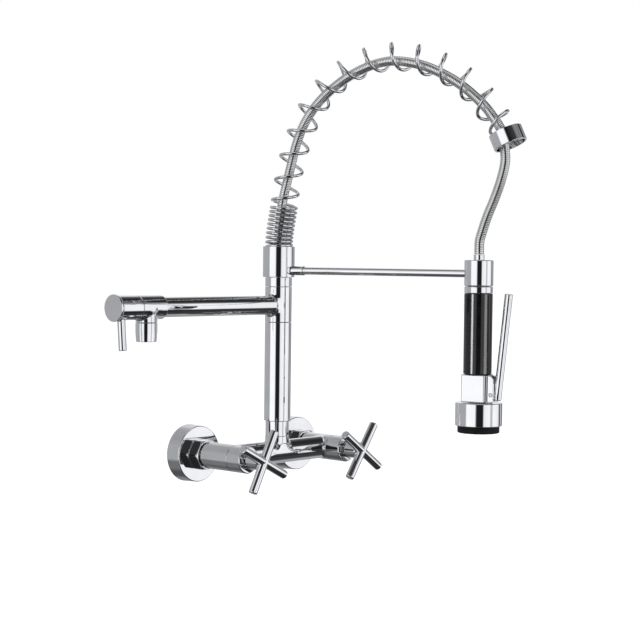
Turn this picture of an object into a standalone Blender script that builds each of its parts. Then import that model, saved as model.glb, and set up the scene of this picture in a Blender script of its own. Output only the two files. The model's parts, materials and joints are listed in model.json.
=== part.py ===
"""Wall-mounted kitchen tap: two-handle bridge body, riser column, swivel spout with its own
end valve, and a spring arch that carries a hose to a pull-down spray wand docked on an arm.

Metres, +Z up. The wall is the plane y = 0 and the tap stands out from it towards -Y. The origin
lies midway between the two wall inlets. Run it with blender --background --python part.py.
"""

import math

import bmesh
import bpy
from mathutils import Matrix, Vector

# ---------------------------------------------------------------- driving dimensions (metres)
GAP = 0.0003  # clearance between pieces that seat on each other
EDGE = 0.0005  # broken edge of a turned piece
SOFT_EDGE = 0.0009  # the same where it shows as rounded
OVERRUN = 0.0020  # how far a cutter runs out past the face it opens

# Wall side and valves: distances are measured out from the wall along -Y
INLET_SPACING = 0.150
FLANGE_RADIUS = 0.0303
FLANGE_TAPER = 0.0009
FLANGE_DEPTH = 0.0174
FLANGE_WALL = 0.0015
WALL_THREAD_RADIUS = 0.0104
WALL_THREAD_LENGTH = 0.012
CONNECTOR_RADIUS = 0.0120
UNION_THREAD_RADIUS = 0.0131
UNION_THREAD_LENGTH = 0.0058
NUT_FLATS = 0.030
NUT_LENGTH = 0.0135
NUT_LIP = 0.0040
GASKET_THICKNESS = 0.0014
TAIL_RADIUS = 0.0096
TAIL_THREAD = 0.0080
WATERWAY_RADIUS = 0.0060
BARREL_RADIUS = 0.0139
BARREL_BACK_OUT = 0.0335
BARREL_FRONT_OUT = 0.0720
COLUMN_OUT = 0.0580
BAR_RADIUS = 0.0122
BAR_FLARE = 0.0010
BAR_FLARE_LENGTH = 0.0070
BAR_FLARE_RIM = 0.0010
CARTRIDGE_RADIUS = 0.0100
CARTRIDGE_LENGTH = 0.0300
CARTRIDGE_CONE = 0.0040
BONNET_RADIUS = 0.0140
BONNET_LENGTH = 0.0189
BONNET_WALL = 0.0032
STEM_RADIUS = 0.0040
STEM_GRIP = 0.0165
STEM_INSET = 0.0105
HUB_RADIUS = 0.0088
HUB_CONE_RADIUS = 0.0055
HUB_CONE_LENGTH = 0.0030
CROSS_OUT = 0.1128
CROSS_SPAN = 0.068
CROSS_BAR_RADIUS = 0.0047
LEFT_CROSS_TURN = 63.0  # degrees from level at rest
RIGHT_CROSS_TURN = 55.0
GRUB_RADIUS = 0.0018
GRUB_HEIGHT = 0.0060  # above the back face of the hub it locks

# Column: heights above the inlet centre line, or lengths stacked up from them
TEE_TOP = 0.0172
TEE_LIP = 0.0012
TEE_FILLET = 0.0160
NECK_RADIUS = 0.0125
NECK_THREAD_RADIUS = 0.0100
NECK_THREAD_LENGTH = 0.0078
COUPLING_TOP = 0.0335
COLUMN_RADIUS = 0.0142
RISER_TOP = 0.1385
SPINDLE_RADIUS = 0.0090
SPINDLE_FIT = 0.0252  # how far the spindle reaches into the collar
SPINDLE_PORT_RADIUS = 0.0035
BUSH_WALL = 0.0010
BUSH_LENGTH = 0.0045
SEAL_RADIUS = 0.0005
SEAL_SETBACK = 0.0030
SLEEVE_LENGTH = 0.0375
SWIVEL_RING_LENGTH = 0.0096
COLLAR_RADIUS = 0.0169
COLLAR_LENGTH = 0.0325
SPRING_RECESS = 0.0040

# Spout: distances along the spout from the column axis
SPOUT_TURN = 180.0  # degrees about the column, from +X
SPOUT_RISE = 0.0179  # its axis above the sleeve's low end
SPOUT_RADIUS = 0.0101
SPOUT_WALL = 0.0018
SPOUT_FILLET = 0.0035
SPOUT_LENGTH = 0.1672
SPOUT_HEAD_RADIUS = 0.0120
SPOUT_HEAD_LENGTH = 0.0310
SPOUT_SPIGOT = 0.0090
OUTLET_SETBACK = 0.0179  # from the head's start to the outlet's axis
OUTLET_RADIUS = 0.0108
OUTLET_DROP = 0.0147
AERATOR_RADIUS = 0.0109
AERATOR_TAPER = 0.0007
AERATOR_LENGTH = 0.0187
AERATOR_THREAD = 0.0065
AERATOR_WALL = 0.0017
AERATOR_LIP = 0.0012
WASHER_THICKNESS = 0.0020
JET_RADIUS = 0.0012
JET_CIRCLE = 0.0048
CORE_RADIUS = 0.0082
CORE_LENGTH = 0.0145
CORE_PORT_RADIUS = 0.0045
CAP_LENGTH = 0.0293
CAP_RADIUS = 0.0121
CAP_RIM_RADIUS = 0.0133
CAP_RIM_LENGTH = 0.0016
CAP_NECKING = 0.0024
CAP_STEM_RADIUS = 0.0035
CAP_STEM_FIT = 0.0120
CAP_LEVER_RADIUS = 0.0040
CAP_LEVER_REACH = 0.0417
CAP_LEVER_SETBACK = 0.0095
CAP_LEVER_ROOT = 0.0070
CAP_LEVER_TURN = 5.0  # degrees forward of straight down at rest

# Tower: the part that swivels on top of the column. Its own +X points along the arm
TOWER_TURN = -76.4  # degrees about the column, from +X
ARM_RISE = 0.0070  # above the collar's low end
ARM_RADIUS = 0.0039
ARM_REACH = 0.2315
ARM_SOCKET_RADIUS = 0.0048
ARM_SOCKET_LENGTH = 0.0138
ARM_SOCKET_WALL = 0.0012
ARM_TENON = 0.0018
DOCK_RADIUS = 0.0145
DOCK_BORE = 0.0108
DOCK_DROP = 0.0123  # from the arm's axis to the dock's low end
DOCK_LENGTH = 0.0258
HOSE_RADIUS = 0.0050
ADAPTER_RADIUS = 0.0072
ADAPTER_LENGTH = 0.0070
ADAPTER_CONE = 0.0014
ADAPTER_BORE = 0.0035
SPRING_RADIUS = 0.0133  # to the middle of the wire
WIRE_RADIUS = 0.0017
SPRING_LEG = 0.0030
SPRING_PITCH = (  # (distance along the spring's middle line, climb per turn there)
    (0.000, 0.0045),
    (0.042, 0.0045),
    (0.050, 0.0170),
    (0.065, 0.0245),
    (0.115, 0.0260),
    (0.145, 0.0287),
    (0.398, 0.0287),
    (0.405, 0.0150),
    (0.430, 0.0150),
)
END_COLLAR_RADIUS = 0.0170
END_COLLAR_LENGTH = 0.0158
END_COLLAR_WALL = 0.0020
END_COLLAR_WEB = 0.0022
END_COLLAR_BORE = 0.0117
END_COLLAR_TILT = -24.0  # degrees, its top leans back towards the column
END_COLLAR_AT = (0.2572, 0.1195)  # middle of its top face: along the arm, above the spring's seat

# Wand: lengths stacked down from the dock, across distances from the wand's own axis
FERRULE_RADIUS = 0.0054
FERRULE_LENGTH = 0.0055
FERRULE_BORE = 0.0030
NECK_FIT_RADIUS = 0.0103
NECK_FLANGE_RADIUS = 0.0142
NECK_FLANGE_LENGTH = 0.0067
NECK_BEVEL = 0.0020
NECK_BORE = 0.0040
GRIP_RADIUS = 0.0142
GRIP_LENGTH = 0.0803
GRIP_WALL = 0.0024
BLOCK_DEPTH = 0.0256
BLOCK_WIDTH = 0.0242
BLOCK_LENGTH = 0.0278
BLOCK_CORNER = 0.0014
EAR_REACH = 0.0074
EAR_WALL = 0.0027
EAR_EDGE = 0.0010
LEVER_RADIUS = 0.0040
LEVER_FOOT = (0.0219, 0.0025)  # across, and above the block's low end, as the next two
LEVER_TIP = (0.0326, 0.1083)
PIVOT_AT = (0.0174, 0.0080)
PIVOT_RADIUS = 0.0015
PIVOT_BOSS = 0.0040
LEVER_TOE = 0.0012  # how far the foot's plate runs past the rod's axis
PLUNGER_RADIUS = 0.0020
PLUNGER_RISE = 0.0165  # above the block's low end
PLUNGER_HEAD_RADIUS = 0.0032
PLUNGER_HEAD_LENGTH = 0.0012
PLUNGER_SEAT = 0.0065  # how far its inner end stays from the wand's axis
PLUNGER_TRAVEL = 0.0015
HEAD_RADIUS = 0.0236
HEAD_LENGTH = 0.0232
HEAD_WALL = 0.0023
HEAD_OFFSET = 0.0020
FACE_DROP = 0.0070
FACE_INSERT = 0.0060
FACE_BORE = 0.0050
FACE_RIM = 0.0012
NOZZLE_HEIGHT = 0.0010
NOZZLE_RADIUS = 0.0011
NOZZLE_RINGS = ((1, 0), (7, 0.0065), (14, 0.0130))  # (how many, distance from the middle)

# Facets
LARGE = 24
MEDIUM = 16
SMALL = 12
POINTS_PER_CURL = 8

# The spring's middle line and the hose's: (along the arm, above the spring's seat), by hand
SPRING_ROUTE = (
    (0.0010, 0.0180),
    (0.0050, 0.0420),
    (0.0088, 0.0668),
    (0.0141, 0.0912),
    (0.0225, 0.1169),
    (0.0355, 0.1444),
    (0.0540, 0.1674),
    (0.0765, 0.1838),
    (0.0995, 0.1938),
    (0.1260, 0.1983),
    (0.1535, 0.1962),
    (0.1805, 0.1885),
    (0.2060, 0.1750),
    (0.2285, 0.1562),
    (0.2455, 0.1350),
)
HOSE_ROUTE = (
    (0.0032, 0.0479),
    (0.0080, 0.0680),
    (0.0139, 0.0901),
    (0.0205, 0.1131),
    (0.0300, 0.1340),
    (0.0455, 0.1540),
    (0.0670, 0.1715),
    (0.0909, 0.1845),
    (0.1136, 0.1918),
    (0.1360, 0.1937),
    (0.1664, 0.1878),
    (0.1942, 0.1755),
    (0.2160, 0.1613),
    (0.2364, 0.1430),
    (0.2480, 0.1280),
)
DROP_ROUTE = (
    (0.2568, 0.1055),
    (0.2578, 0.0960),
    (0.2572, 0.0846),
    (0.2530, 0.0687),
    (0.2471, 0.0527),
    (0.2402, 0.0367),
    (0.2350, 0.0220),
)

# ---------------------------------------------------------------- sizes worked out from them
VALVE_X = INLET_SPACING / 2
NUT_BACK_OUT = FLANGE_DEPTH + GAP
NUT_FRONT_OUT = NUT_BACK_OUT + NUT_LENGTH
CONNECTOR_FRONT_OUT = NUT_BACK_OUT + UNION_THREAD_LENGTH
GASKET_FRONT_OUT = CONNECTOR_FRONT_OUT + GAP + GASKET_THICKNESS
TAIL_FRONT_OUT = BARREL_BACK_OUT + TAIL_THREAD
BONNET_BACK_OUT = BARREL_FRONT_OUT + GAP
BONNET_FRONT_OUT = BONNET_BACK_OUT + BONNET_LENGTH
CARTRIDGE_FRONT_OUT = BONNET_FRONT_OUT - BONNET_WALL - GAP
CARTRIDGE_BACK_OUT = CARTRIDGE_FRONT_OUT - CARTRIDGE_LENGTH
HUB_BACK_OUT = BONNET_FRONT_OUT + 2 * GAP
STEM_FRONT_OUT = BONNET_FRONT_OUT + STEM_GRIP
COUPLING_LOW = TEE_TOP + GAP
RISER_LOW = COUPLING_TOP + GAP
SLEEVE_LOW = RISER_TOP + GAP
SLEEVE_TOP = SLEEVE_LOW + SLEEVE_LENGTH
SWIVEL_RING_LOW = SLEEVE_TOP + GAP
SWIVEL_RING_TOP = SWIVEL_RING_LOW + SWIVEL_RING_LENGTH
COLLAR_LOW = SWIVEL_RING_TOP + GAP
COLLAR_TOP = COLLAR_LOW + COLLAR_LENGTH
SPINDLE_TOP = COLLAR_LOW + SPINDLE_FIT
SPOUT_HEIGHT = SLEEVE_LOW + SPOUT_RISE
ARM_HEIGHT = COLLAR_LOW + ARM_RISE
BUSH_OUTER = SPINDLE_RADIUS + GAP + BUSH_WALL
SOCKET_BORE = BUSH_OUTER + GAP
SPRING_SEAT = COLLAR_TOP - SPRING_RECESS
RECESS_RADIUS = SPRING_RADIUS + WIRE_RADIUS + GAP
HEAD_START = SPOUT_LENGTH + GAP
HEAD_END = HEAD_START + SPOUT_HEAD_LENGTH
OUTLET_REACH = HEAD_START + OUTLET_SETBACK
CAP_START = HEAD_END + GAP
CAP_END = CAP_START + CAP_LENGTH
OUTLET_LOW = SPOUT_HEIGHT - OUTLET_DROP
DOCK_FACE = ARM_REACH - DOCK_RADIUS
DOCK_LOW = ARM_HEIGHT - DOCK_DROP
DOCK_TOP = DOCK_LOW + DOCK_LENGTH
NECK_FLANGE_TOP = DOCK_LOW - GAP
NECK_FLANGE_LOW = NECK_FLANGE_TOP - NECK_FLANGE_LENGTH
NECK_TOP = DOCK_TOP - GAP
FERRULE_LOW = NECK_TOP + GAP
FERRULE_TOP = FERRULE_LOW + FERRULE_LENGTH
GRIP_TOP = NECK_FLANGE_LOW - GAP
GRIP_LOW = GRIP_TOP - GRIP_LENGTH
BLOCK_TOP = GRIP_LOW - GAP
BLOCK_LOW = BLOCK_TOP - BLOCK_LENGTH
BLOCK_FACE = BLOCK_DEPTH / 2
EAR_SLOT = 2 * (LEVER_RADIUS + GAP)
PLUNGER_HEIGHT = BLOCK_LOW + PLUNGER_RISE
HEAD_TOP = BLOCK_LOW - GAP
HEAD_LOW = HEAD_TOP - HEAD_LENGTH
FACE_LOW = HEAD_LOW - FACE_DROP
HEAD_BORE = HEAD_RADIUS - HEAD_WALL
FACE_RADIUS = HEAD_BORE - GAP
END_COLLAR_TOP = Vector(END_COLLAR_AT)
END_COLLAR_LEAN = math.radians(END_COLLAR_TILT)
END_COLLAR_AXIS = Vector((math.sin(END_COLLAR_LEAN), math.cos(END_COLLAR_LEAN)))


# ---------------------------------------------------------------- scene and placing
def clear_scene():
    for obj in list(bpy.data.objects):
        bpy.data.objects.remove(obj, do_unlink=True)


def new_collection(name):
    collection = bpy.data.collections.new(name)
    bpy.context.scene.collection.children.link(collection)
    return collection


def material(name, colour, roughness, metallic):
    made = bpy.data.materials.new(name)
    made.use_nodes = True
    shader = made.node_tree.nodes["Principled BSDF"]
    shader.inputs["Base Color"].default_value = (*colour, 1.0)
    shader.inputs["Roughness"].default_value = roughness
    shader.inputs["Metallic"].default_value = metallic
    made.diffuse_color = (*colour, 1.0)
    return made


def place(obj, parent, location=(0, 0, 0), rotation=(0, 0, 0), collection=None):
    (collection or PARTS).objects.link(obj)
    obj.parent = parent
    obj.location = location
    obj.rotation_euler = [math.radians(angle) for angle in rotation]
    return obj


def frame(name, parent, location=(0, 0, 0), rotation=(0, 0, 0)):
    """An empty that pieces are placed under. Moving pieces hang on one at their joint's axis."""
    empty = bpy.data.objects.new(name, None)
    empty.empty_display_size = 0.02
    return place(empty, parent, location, rotation)


def add_mesh(name, mesh, look, parent, location=(0, 0, 0), rotation=(0, 0, 0), cutter=False):
    obj = bpy.data.objects.new(name, mesh)
    if look:
        mesh.materials.append(look)
    place(obj, parent, location, rotation, CUTTERS if cutter else None)
    if cutter:
        obj.hide_render = True
        obj.display_type = "WIRE"
    return obj


def bake(obj):
    """Replaces the object's mesh with what its modifiers make of it."""
    bpy.context.view_layer.update()
    graph = bpy.context.evaluated_depsgraph_get()
    mesh = bpy.data.meshes.new_from_object(obj.evaluated_get(graph))
    mesh.name = obj.name
    obj.modifiers.clear()
    obj.data = mesh
    return obj


def combine(obj, tool, operation):
    """Boolean of a piece with a helper shape, which is then thrown away."""
    modifier = obj.modifiers.new(operation.title(), "BOOLEAN")
    modifier.operation = operation
    modifier.solver = "EXACT"
    modifier.object = tool
    bake(obj)
    bpy.data.objects.remove(tool, do_unlink=True)
    return obj


def cut(obj, tool):
    return combine(obj, tool, "DIFFERENCE")


def join(obj, tool):
    return combine(obj, tool, "UNION")


# ---------------------------------------------------------------- shapes
def turned(name, profile, look, parent, steps, location=(0, 0, 0), rotation=(0, 0, 0), cutter=False):
    """Turns (radius, height) points about Z. A profile runs down its outer side; one that never
    reaches the axis comes back up the bore and closes on its first point."""
    mesh = bpy.data.meshes.new(name)
    count = len(profile)
    edges = [(i, i + 1) for i in range(count - 1)]
    if profile[0][0] > 0:
        edges.append((count - 1, 0))
    mesh.from_pydata([(radius, 0, height) for radius, height in profile], edges, [])
    obj = add_mesh(name, mesh, look, parent, location, rotation, cutter)
    screw = obj.modifiers.new("Turn", "SCREW")
    screw.steps = steps
    screw.render_steps = steps
    screw.use_merge_vertices = True
    screw.merge_threshold = 0.00001
    return bake(obj)


def ring(radius, bore, low, high, chamfer=0.0):
    """Profile of a plain ring, with its outer edges broken where a chamfer is given."""
    inner = [(bore, low), (bore, high)]
    if not chamfer:
        return [(radius, high), (radius, low)] + inner
    outer = [(radius - chamfer, high), (radius, high - chamfer)]
    outer += [(radius, low + chamfer), (radius - chamfer, low)]
    return outer + inner


def plug(radius, low, high, chamfer=0.0):
    """Profile of a plain solid cylinder."""
    outer = [(radius, high), (radius, low)]
    if chamfer:
        outer = [(radius - chamfer, high), (radius, high - chamfer)]
        outer += [(radius, low + chamfer), (radius - chamfer, low)]
    return [(0, high)] + outer + [(0, low)]


def drill(obj, parent, radius, start, end, steps=SMALL, location=(0, 0, 0), rotation=(0, 0, 0)):
    """Bores a straight hole along the Z of the given place."""
    tool = turned("drill", plug(radius, start, end), None, parent, steps, location, rotation, True)
    return cut(obj, tool)


def box(name, low, high, look, parent, cutter=False, corner=0.0):
    """A block between two corners, its upright edges rounded where a corner radius is given."""
    shape = bmesh.new()
    bmesh.ops.create_cube(shape, size=1.0)
    size = Vector(high) - Vector(low)
    middle = (Vector(high) + Vector(low)) / 2
    bmesh.ops.transform(shape, matrix=Matrix.LocRotScale(middle, None, size), verts=shape.verts)
    if corner:
        upright = [e for e in shape.edges if abs((e.verts[0].co - e.verts[1].co).z) > size.z / 2]
        bmesh.ops.bevel(
            shape, geom=upright, offset=corner, segments=3, profile=0.5, affect="EDGES"
        )
    mesh = bpy.data.meshes.new(name)
    shape.to_mesh(mesh)
    shape.free()
    return add_mesh(name, mesh, look, parent, cutter=cutter)


def plate(name, outline, low_y, high_y, look, parent, cutter=False):
    """A flat outline of (x, z) points with thickness along Y."""
    shape = bmesh.new()
    face = shape.faces.new([shape.verts.new((x, low_y, z)) for x, z in outline])
    grown = bmesh.ops.extrude_face_region(shape, geom=[face])["geom"]
    moved = [item for item in grown if isinstance(item, bmesh.types.BMVert)]
    bmesh.ops.translate(shape, vec=(0, high_y - low_y, 0), verts=moved)
    bmesh.ops.recalc_face_normals(shape, faces=shape.faces)
    mesh = bpy.data.meshes.new(name)
    shape.to_mesh(mesh)
    shape.free()
    return add_mesh(name, mesh, look, parent, cutter=cutter)


def loft(name, sections, look, parent, steps, cutter=False):
    """Skins level ovals, given from the top down as (half length along X, half width, height)."""
    shape = bmesh.new()
    rows = []
    for half_length, half_width, height in sections:
        angles = [2 * math.pi * i / steps for i in range(steps)]
        rows.append(
            [
                shape.verts.new((half_length * math.cos(a), half_width * math.sin(a), height))
                for a in angles
            ]
        )
    for upper, lower in zip(rows, rows[1:]):
        for i in range(steps):
            j = (i + 1) % steps
            shape.faces.new((upper[i], lower[i], lower[j], upper[j]))
    shape.faces.new(rows[0])
    shape.faces.new(rows[-1][::-1])
    bmesh.ops.recalc_face_normals(shape, faces=shape.faces)
    mesh = bpy.data.meshes.new(name)
    shape.to_mesh(mesh)
    shape.free()
    return add_mesh(name, mesh, look, parent, cutter=cutter)


def tube(name, points, radius, resolution, look, parent):
    """A round tube or wire along points, as a poly curve with filled ends."""
    curve = bpy.data.curves.new(name, "CURVE")
    curve.dimensions = "3D"
    curve.bevel_depth = radius
    curve.bevel_resolution = resolution
    curve.use_fill_caps = True
    spline = curve.splines.new("POLY")
    spline.points.add(len(points) - 1)
    for slot, point in zip(spline.points, points):
        slot.co = (*point, 1.0)
    curve.materials.append(look)
    return place(bpy.data.objects.new(name, curve), parent)


# ---------------------------------------------------------------- smooth routes
def smooth_route(points, spacing, start, end):
    """Points at an even spacing on a Catmull-Rom curve through (along, height) points, which
    leaves the first point along start and meets the last one along end."""
    line = [Vector(point) for point in points]
    before = line[1] - 2 * Vector(start) * (line[1] - line[0]).length
    after = line[-2] + 2 * Vector(end) * (line[-1] - line[-2]).length
    line = [before] + line + [after]
    fine = []
    parts = 24
    for a, b, c, d in zip(line, line[1:], line[2:], line[3:]):
        for i in range(parts):
            t = i / parts
            square = (2 * a - 5 * b + 4 * c - d) * t * t
            cube = (3 * b - a - 3 * c + d) * t * t * t
            fine.append((2 * b + (c - a) * t + square + cube) / 2)
    fine.append(line[-2])
    lengths = [0.0]
    for a, b in zip(fine, fine[1:]):
        lengths.append(lengths[-1] + (b - a).length)
    count = round(lengths[-1] / spacing)
    even = []
    at = 0
    for i in range(count + 1):
        target = lengths[-1] * i / count
        while at < len(fine) - 2 and lengths[at + 1] < target:
            at += 1
        share = (target - lengths[at]) / (lengths[at + 1] - lengths[at])
        even.append(fine[at].lerp(fine[at + 1], share))
    return even


def lift(points):
    """Route points in the tower's own upright plane."""
    return [Vector((point[0], 0, point[1])) for point in points]


def pitch_at(length):
    """The spring's climb per turn: close turns at the foot, open ones over the arch."""
    for (low, first), (high, last) in zip(SPRING_PITCH, SPRING_PITCH[1:]):
        if length < high:
            return first + (last - first) * (length - low) / (high - low)
    return SPRING_PITCH[-1][1]


def spring_points():
    """The wire's middle line: a helix about the route, with a short straight leg at each end."""
    up = Vector((0, 1))
    foot = Vector((0, GAP + SPRING_LEG))
    end_seat = END_COLLAR_TOP + END_COLLAR_AXIS * (GAP - SPRING_RECESS)
    knots = (foot,) + SPRING_ROUTE + (end_seat + END_COLLAR_AXIS * SPRING_LEG,)
    step = 0.0005
    route = smooth_route(knots, step, up, -END_COLLAR_AXIS)
    turns = [0.0]
    for i in range(1, len(route)):
        turns.append(turns[-1] + (route[i] - route[i - 1]).length / pitch_at(i * step))
    count = round(turns[-1] * POINTS_PER_CURL)
    points = []
    at = 0
    for i in range(count + 1):
        target = turns[-1] * i / count
        while at < len(route) - 2 and turns[at + 1] < target:
            at += 1
        share = (target - turns[at]) / (turns[at + 1] - turns[at])
        middle = route[at].lerp(route[at + 1], share)
        along = (route[at + 1] - route[at]).normalized()
        outward = Vector((-along.y, along.x))
        angle = 2 * math.pi * target
        flat = middle + outward * (SPRING_RADIUS * math.cos(angle))
        points.append(Vector((flat.x, -SPRING_RADIUS * math.sin(angle), flat.y)))
    first = points[0] - Vector((0, 0, SPRING_LEG))
    last = points[-1] - Vector((END_COLLAR_AXIS.x, 0, END_COLLAR_AXIS.y)) * SPRING_LEG
    return [first] + points + [last]


def least_gap(points, radius):
    """Smallest distance between the surfaces of neighbouring turns."""
    nearest = math.inf
    for i, a in enumerate(points):
        for b in points[i + 5 :]:
            nearest = min(nearest, (a - b).length)
    return nearest - 2 * radius


# ---------------------------------------------------------------- valves and wall unions
def wall_flange(side, parent):
    front = FLANGE_RADIUS - FLANGE_TAPER
    bore = CONNECTOR_RADIUS + GAP
    profile = [
        (front - SOFT_EDGE, FLANGE_DEPTH),
        (front, FLANGE_DEPTH - SOFT_EDGE),
        (FLANGE_RADIUS, 0),
        (FLANGE_RADIUS - FLANGE_WALL, 0),
        (front - FLANGE_WALL, FLANGE_DEPTH - FLANGE_WALL),
        (bore, FLANGE_DEPTH - FLANGE_WALL),
        (bore, FLANGE_DEPTH),
    ]
    turned("wall_flange_" + side, profile, CHROME, parent, LARGE)


def inlet_connector(side, parent):
    profile = [
        (UNION_THREAD_RADIUS, CONNECTOR_FRONT_OUT),
        (UNION_THREAD_RADIUS, NUT_BACK_OUT),
        (CONNECTOR_RADIUS, NUT_BACK_OUT),
        (CONNECTOR_RADIUS, 0),
        (WALL_THREAD_RADIUS, 0),
        (WALL_THREAD_RADIUS, -WALL_THREAD_LENGTH),
        (WATERWAY_RADIUS, -WALL_THREAD_LENGTH),
        (WATERWAY_RADIUS, CONNECTOR_FRONT_OUT),
    ]
    turned("inlet_connector_" + side, profile, BRASS, parent, SMALL)


def union_nut(side, parent):
    corner = NUT_FLATS / 2 / math.cos(math.radians(30))
    nut = turned(
        "union_nut_" + side, plug(corner, NUT_BACK_OUT, NUT_FRONT_OUT), CHROME, parent, 6
    )
    chamfer = corner - NUT_FLATS / 2
    rounded = plug(corner + GAP, NUT_BACK_OUT - GAP, NUT_FRONT_OUT + GAP, chamfer)
    tool = turned("nut_chamfer", rounded, None, parent, LARGE, cutter=True)
    combine(nut, tool, "INTERSECT")
    lip = NUT_FRONT_OUT - NUT_LIP
    drill(nut, parent, UNION_THREAD_RADIUS + GAP, NUT_BACK_OUT - OVERRUN, lip, MEDIUM)
    drill(nut, parent, TAIL_RADIUS + GAP, lip - OVERRUN, NUT_FRONT_OUT + OVERRUN, MEDIUM)


def union_gasket(side, parent):
    profile = ring(
        UNION_THREAD_RADIUS - GAP, WATERWAY_RADIUS, CONNECTOR_FRONT_OUT + GAP, GASKET_FRONT_OUT
    )
    turned("union_gasket_" + side, profile, RUBBER, parent, SMALL)


def valve_tail(side, parent):
    """Screws into the back of the barrel and carries the loose union nut behind its shoulder."""
    shoulder = NUT_FRONT_OUT - NUT_LIP - GAP
    profile = [
        (TAIL_RADIUS, TAIL_FRONT_OUT),
        (TAIL_RADIUS, shoulder),
        (UNION_THREAD_RADIUS - GAP, shoulder),
        (UNION_THREAD_RADIUS - GAP, GASKET_FRONT_OUT + GAP),
        (WATERWAY_RADIUS, GASKET_FRONT_OUT + GAP),
        (WATERWAY_RADIUS, TAIL_FRONT_OUT),
    ]
    turned("valve_tail_" + side, profile, BRASS, parent, SMALL)


def cartridge(side, parent):
    lift_slot = CARTRIDGE_FRONT_OUT - STEM_INSET - GAP
    profile = [
        (CARTRIDGE_RADIUS, CARTRIDGE_FRONT_OUT),
        (CARTRIDGE_RADIUS, CARTRIDGE_BACK_OUT),
        (WATERWAY_RADIUS, CARTRIDGE_BACK_OUT),
        (WATERWAY_RADIUS, lift_slot - CARTRIDGE_CONE),
        (STEM_RADIUS + GAP, lift_slot),
        (STEM_RADIUS + GAP, CARTRIDGE_FRONT_OUT),
    ]
    turned("cartridge_" + side, profile, BRASS, parent, SMALL)


def bonnet(side, parent):
    bore = CARTRIDGE_RADIUS + GAP
    profile = [
        (BONNET_RADIUS - 2 * SOFT_EDGE, BONNET_FRONT_OUT),
        (BONNET_RADIUS, BONNET_FRONT_OUT - 2 * SOFT_EDGE),
        (BONNET_RADIUS, BONNET_BACK_OUT + SOFT_EDGE),
        (BONNET_RADIUS - SOFT_EDGE, BONNET_BACK_OUT),
        (bore, BONNET_BACK_OUT),
        (bore, BONNET_FRONT_OUT - BONNET_WALL),
        (STEM_RADIUS + GAP, BONNET_FRONT_OUT - BONNET_WALL),
        (STEM_RADIUS + GAP, BONNET_FRONT_OUT),
    ]
    turned("bonnet_" + side, profile, CHROME, parent, LARGE)


def stem(side, parent):
    low = CARTRIDGE_FRONT_OUT - STEM_INSET
    turned("stem_" + side, plug(STEM_RADIUS, low, STEM_FRONT_OUT, EDGE), BRASS, parent, SMALL)


def cross_handle(side, parent):
    """Hub and two crossed round bars, cast in one."""
    profile = [
        (0, CROSS_OUT),
        (HUB_CONE_RADIUS, CROSS_OUT),
        (HUB_RADIUS, CROSS_OUT - HUB_CONE_LENGTH),
        (HUB_RADIUS, HUB_BACK_OUT + SOFT_EDGE),
        (HUB_RADIUS - SOFT_EDGE, HUB_BACK_OUT),
        (0, HUB_BACK_OUT),
    ]
    handle = turned("cross_handle_" + side, profile, CHROME, parent, MEDIUM)
    half = CROSS_SPAN / 2
    for turn in (0, 90):
        bar = turned(
            "bar",
            plug(CROSS_BAR_RADIUS, -half, half, SOFT_EDGE),
            None,
            parent,
            SMALL,
            (0, 0, CROSS_OUT),
            (0, 90, turn),
            True,
        )
        join(handle, bar)
    drill(handle, parent, STEM_RADIUS + GAP, HUB_BACK_OUT - OVERRUN, STEM_FRONT_OUT + GAP)
    height = HUB_BACK_OUT + GRUB_HEIGHT
    drill(handle, parent, GRUB_RADIUS + GAP, 0, HUB_RADIUS * 2, 8, (0, 0, height), (90, 0, 0))


def handle_screw(side, parent):
    """Grub screw that locks the hub to the stem."""
    low = STEM_RADIUS + GAP
    place_at = (0, 0, HUB_BACK_OUT + GRUB_HEIGHT)
    profile = plug(GRUB_RADIUS, low, HUB_RADIUS - EDGE)
    turned("handle_screw_" + side, profile, STEEL, parent, 8, place_at, (90, 0, 0))


def valve(side, x, turn):
    """Everything on one inlet axis, from the wall outwards."""
    axis = frame("valve_axis_" + side, ROOT, (x, 0, 0), (90, 0, 0))
    wall_flange(side, axis)
    inlet_connector(side, axis)
    union_nut(side, axis)
    union_gasket(side, axis)
    valve_tail(side, axis)
    cartridge(side, axis)
    bonnet(side, axis)
    spin = frame("handle_axis_" + side, axis, rotation=(0, 0, turn))
    stem(side, spin)
    cross_handle(side, spin)
    handle_screw(side, spin)


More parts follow.
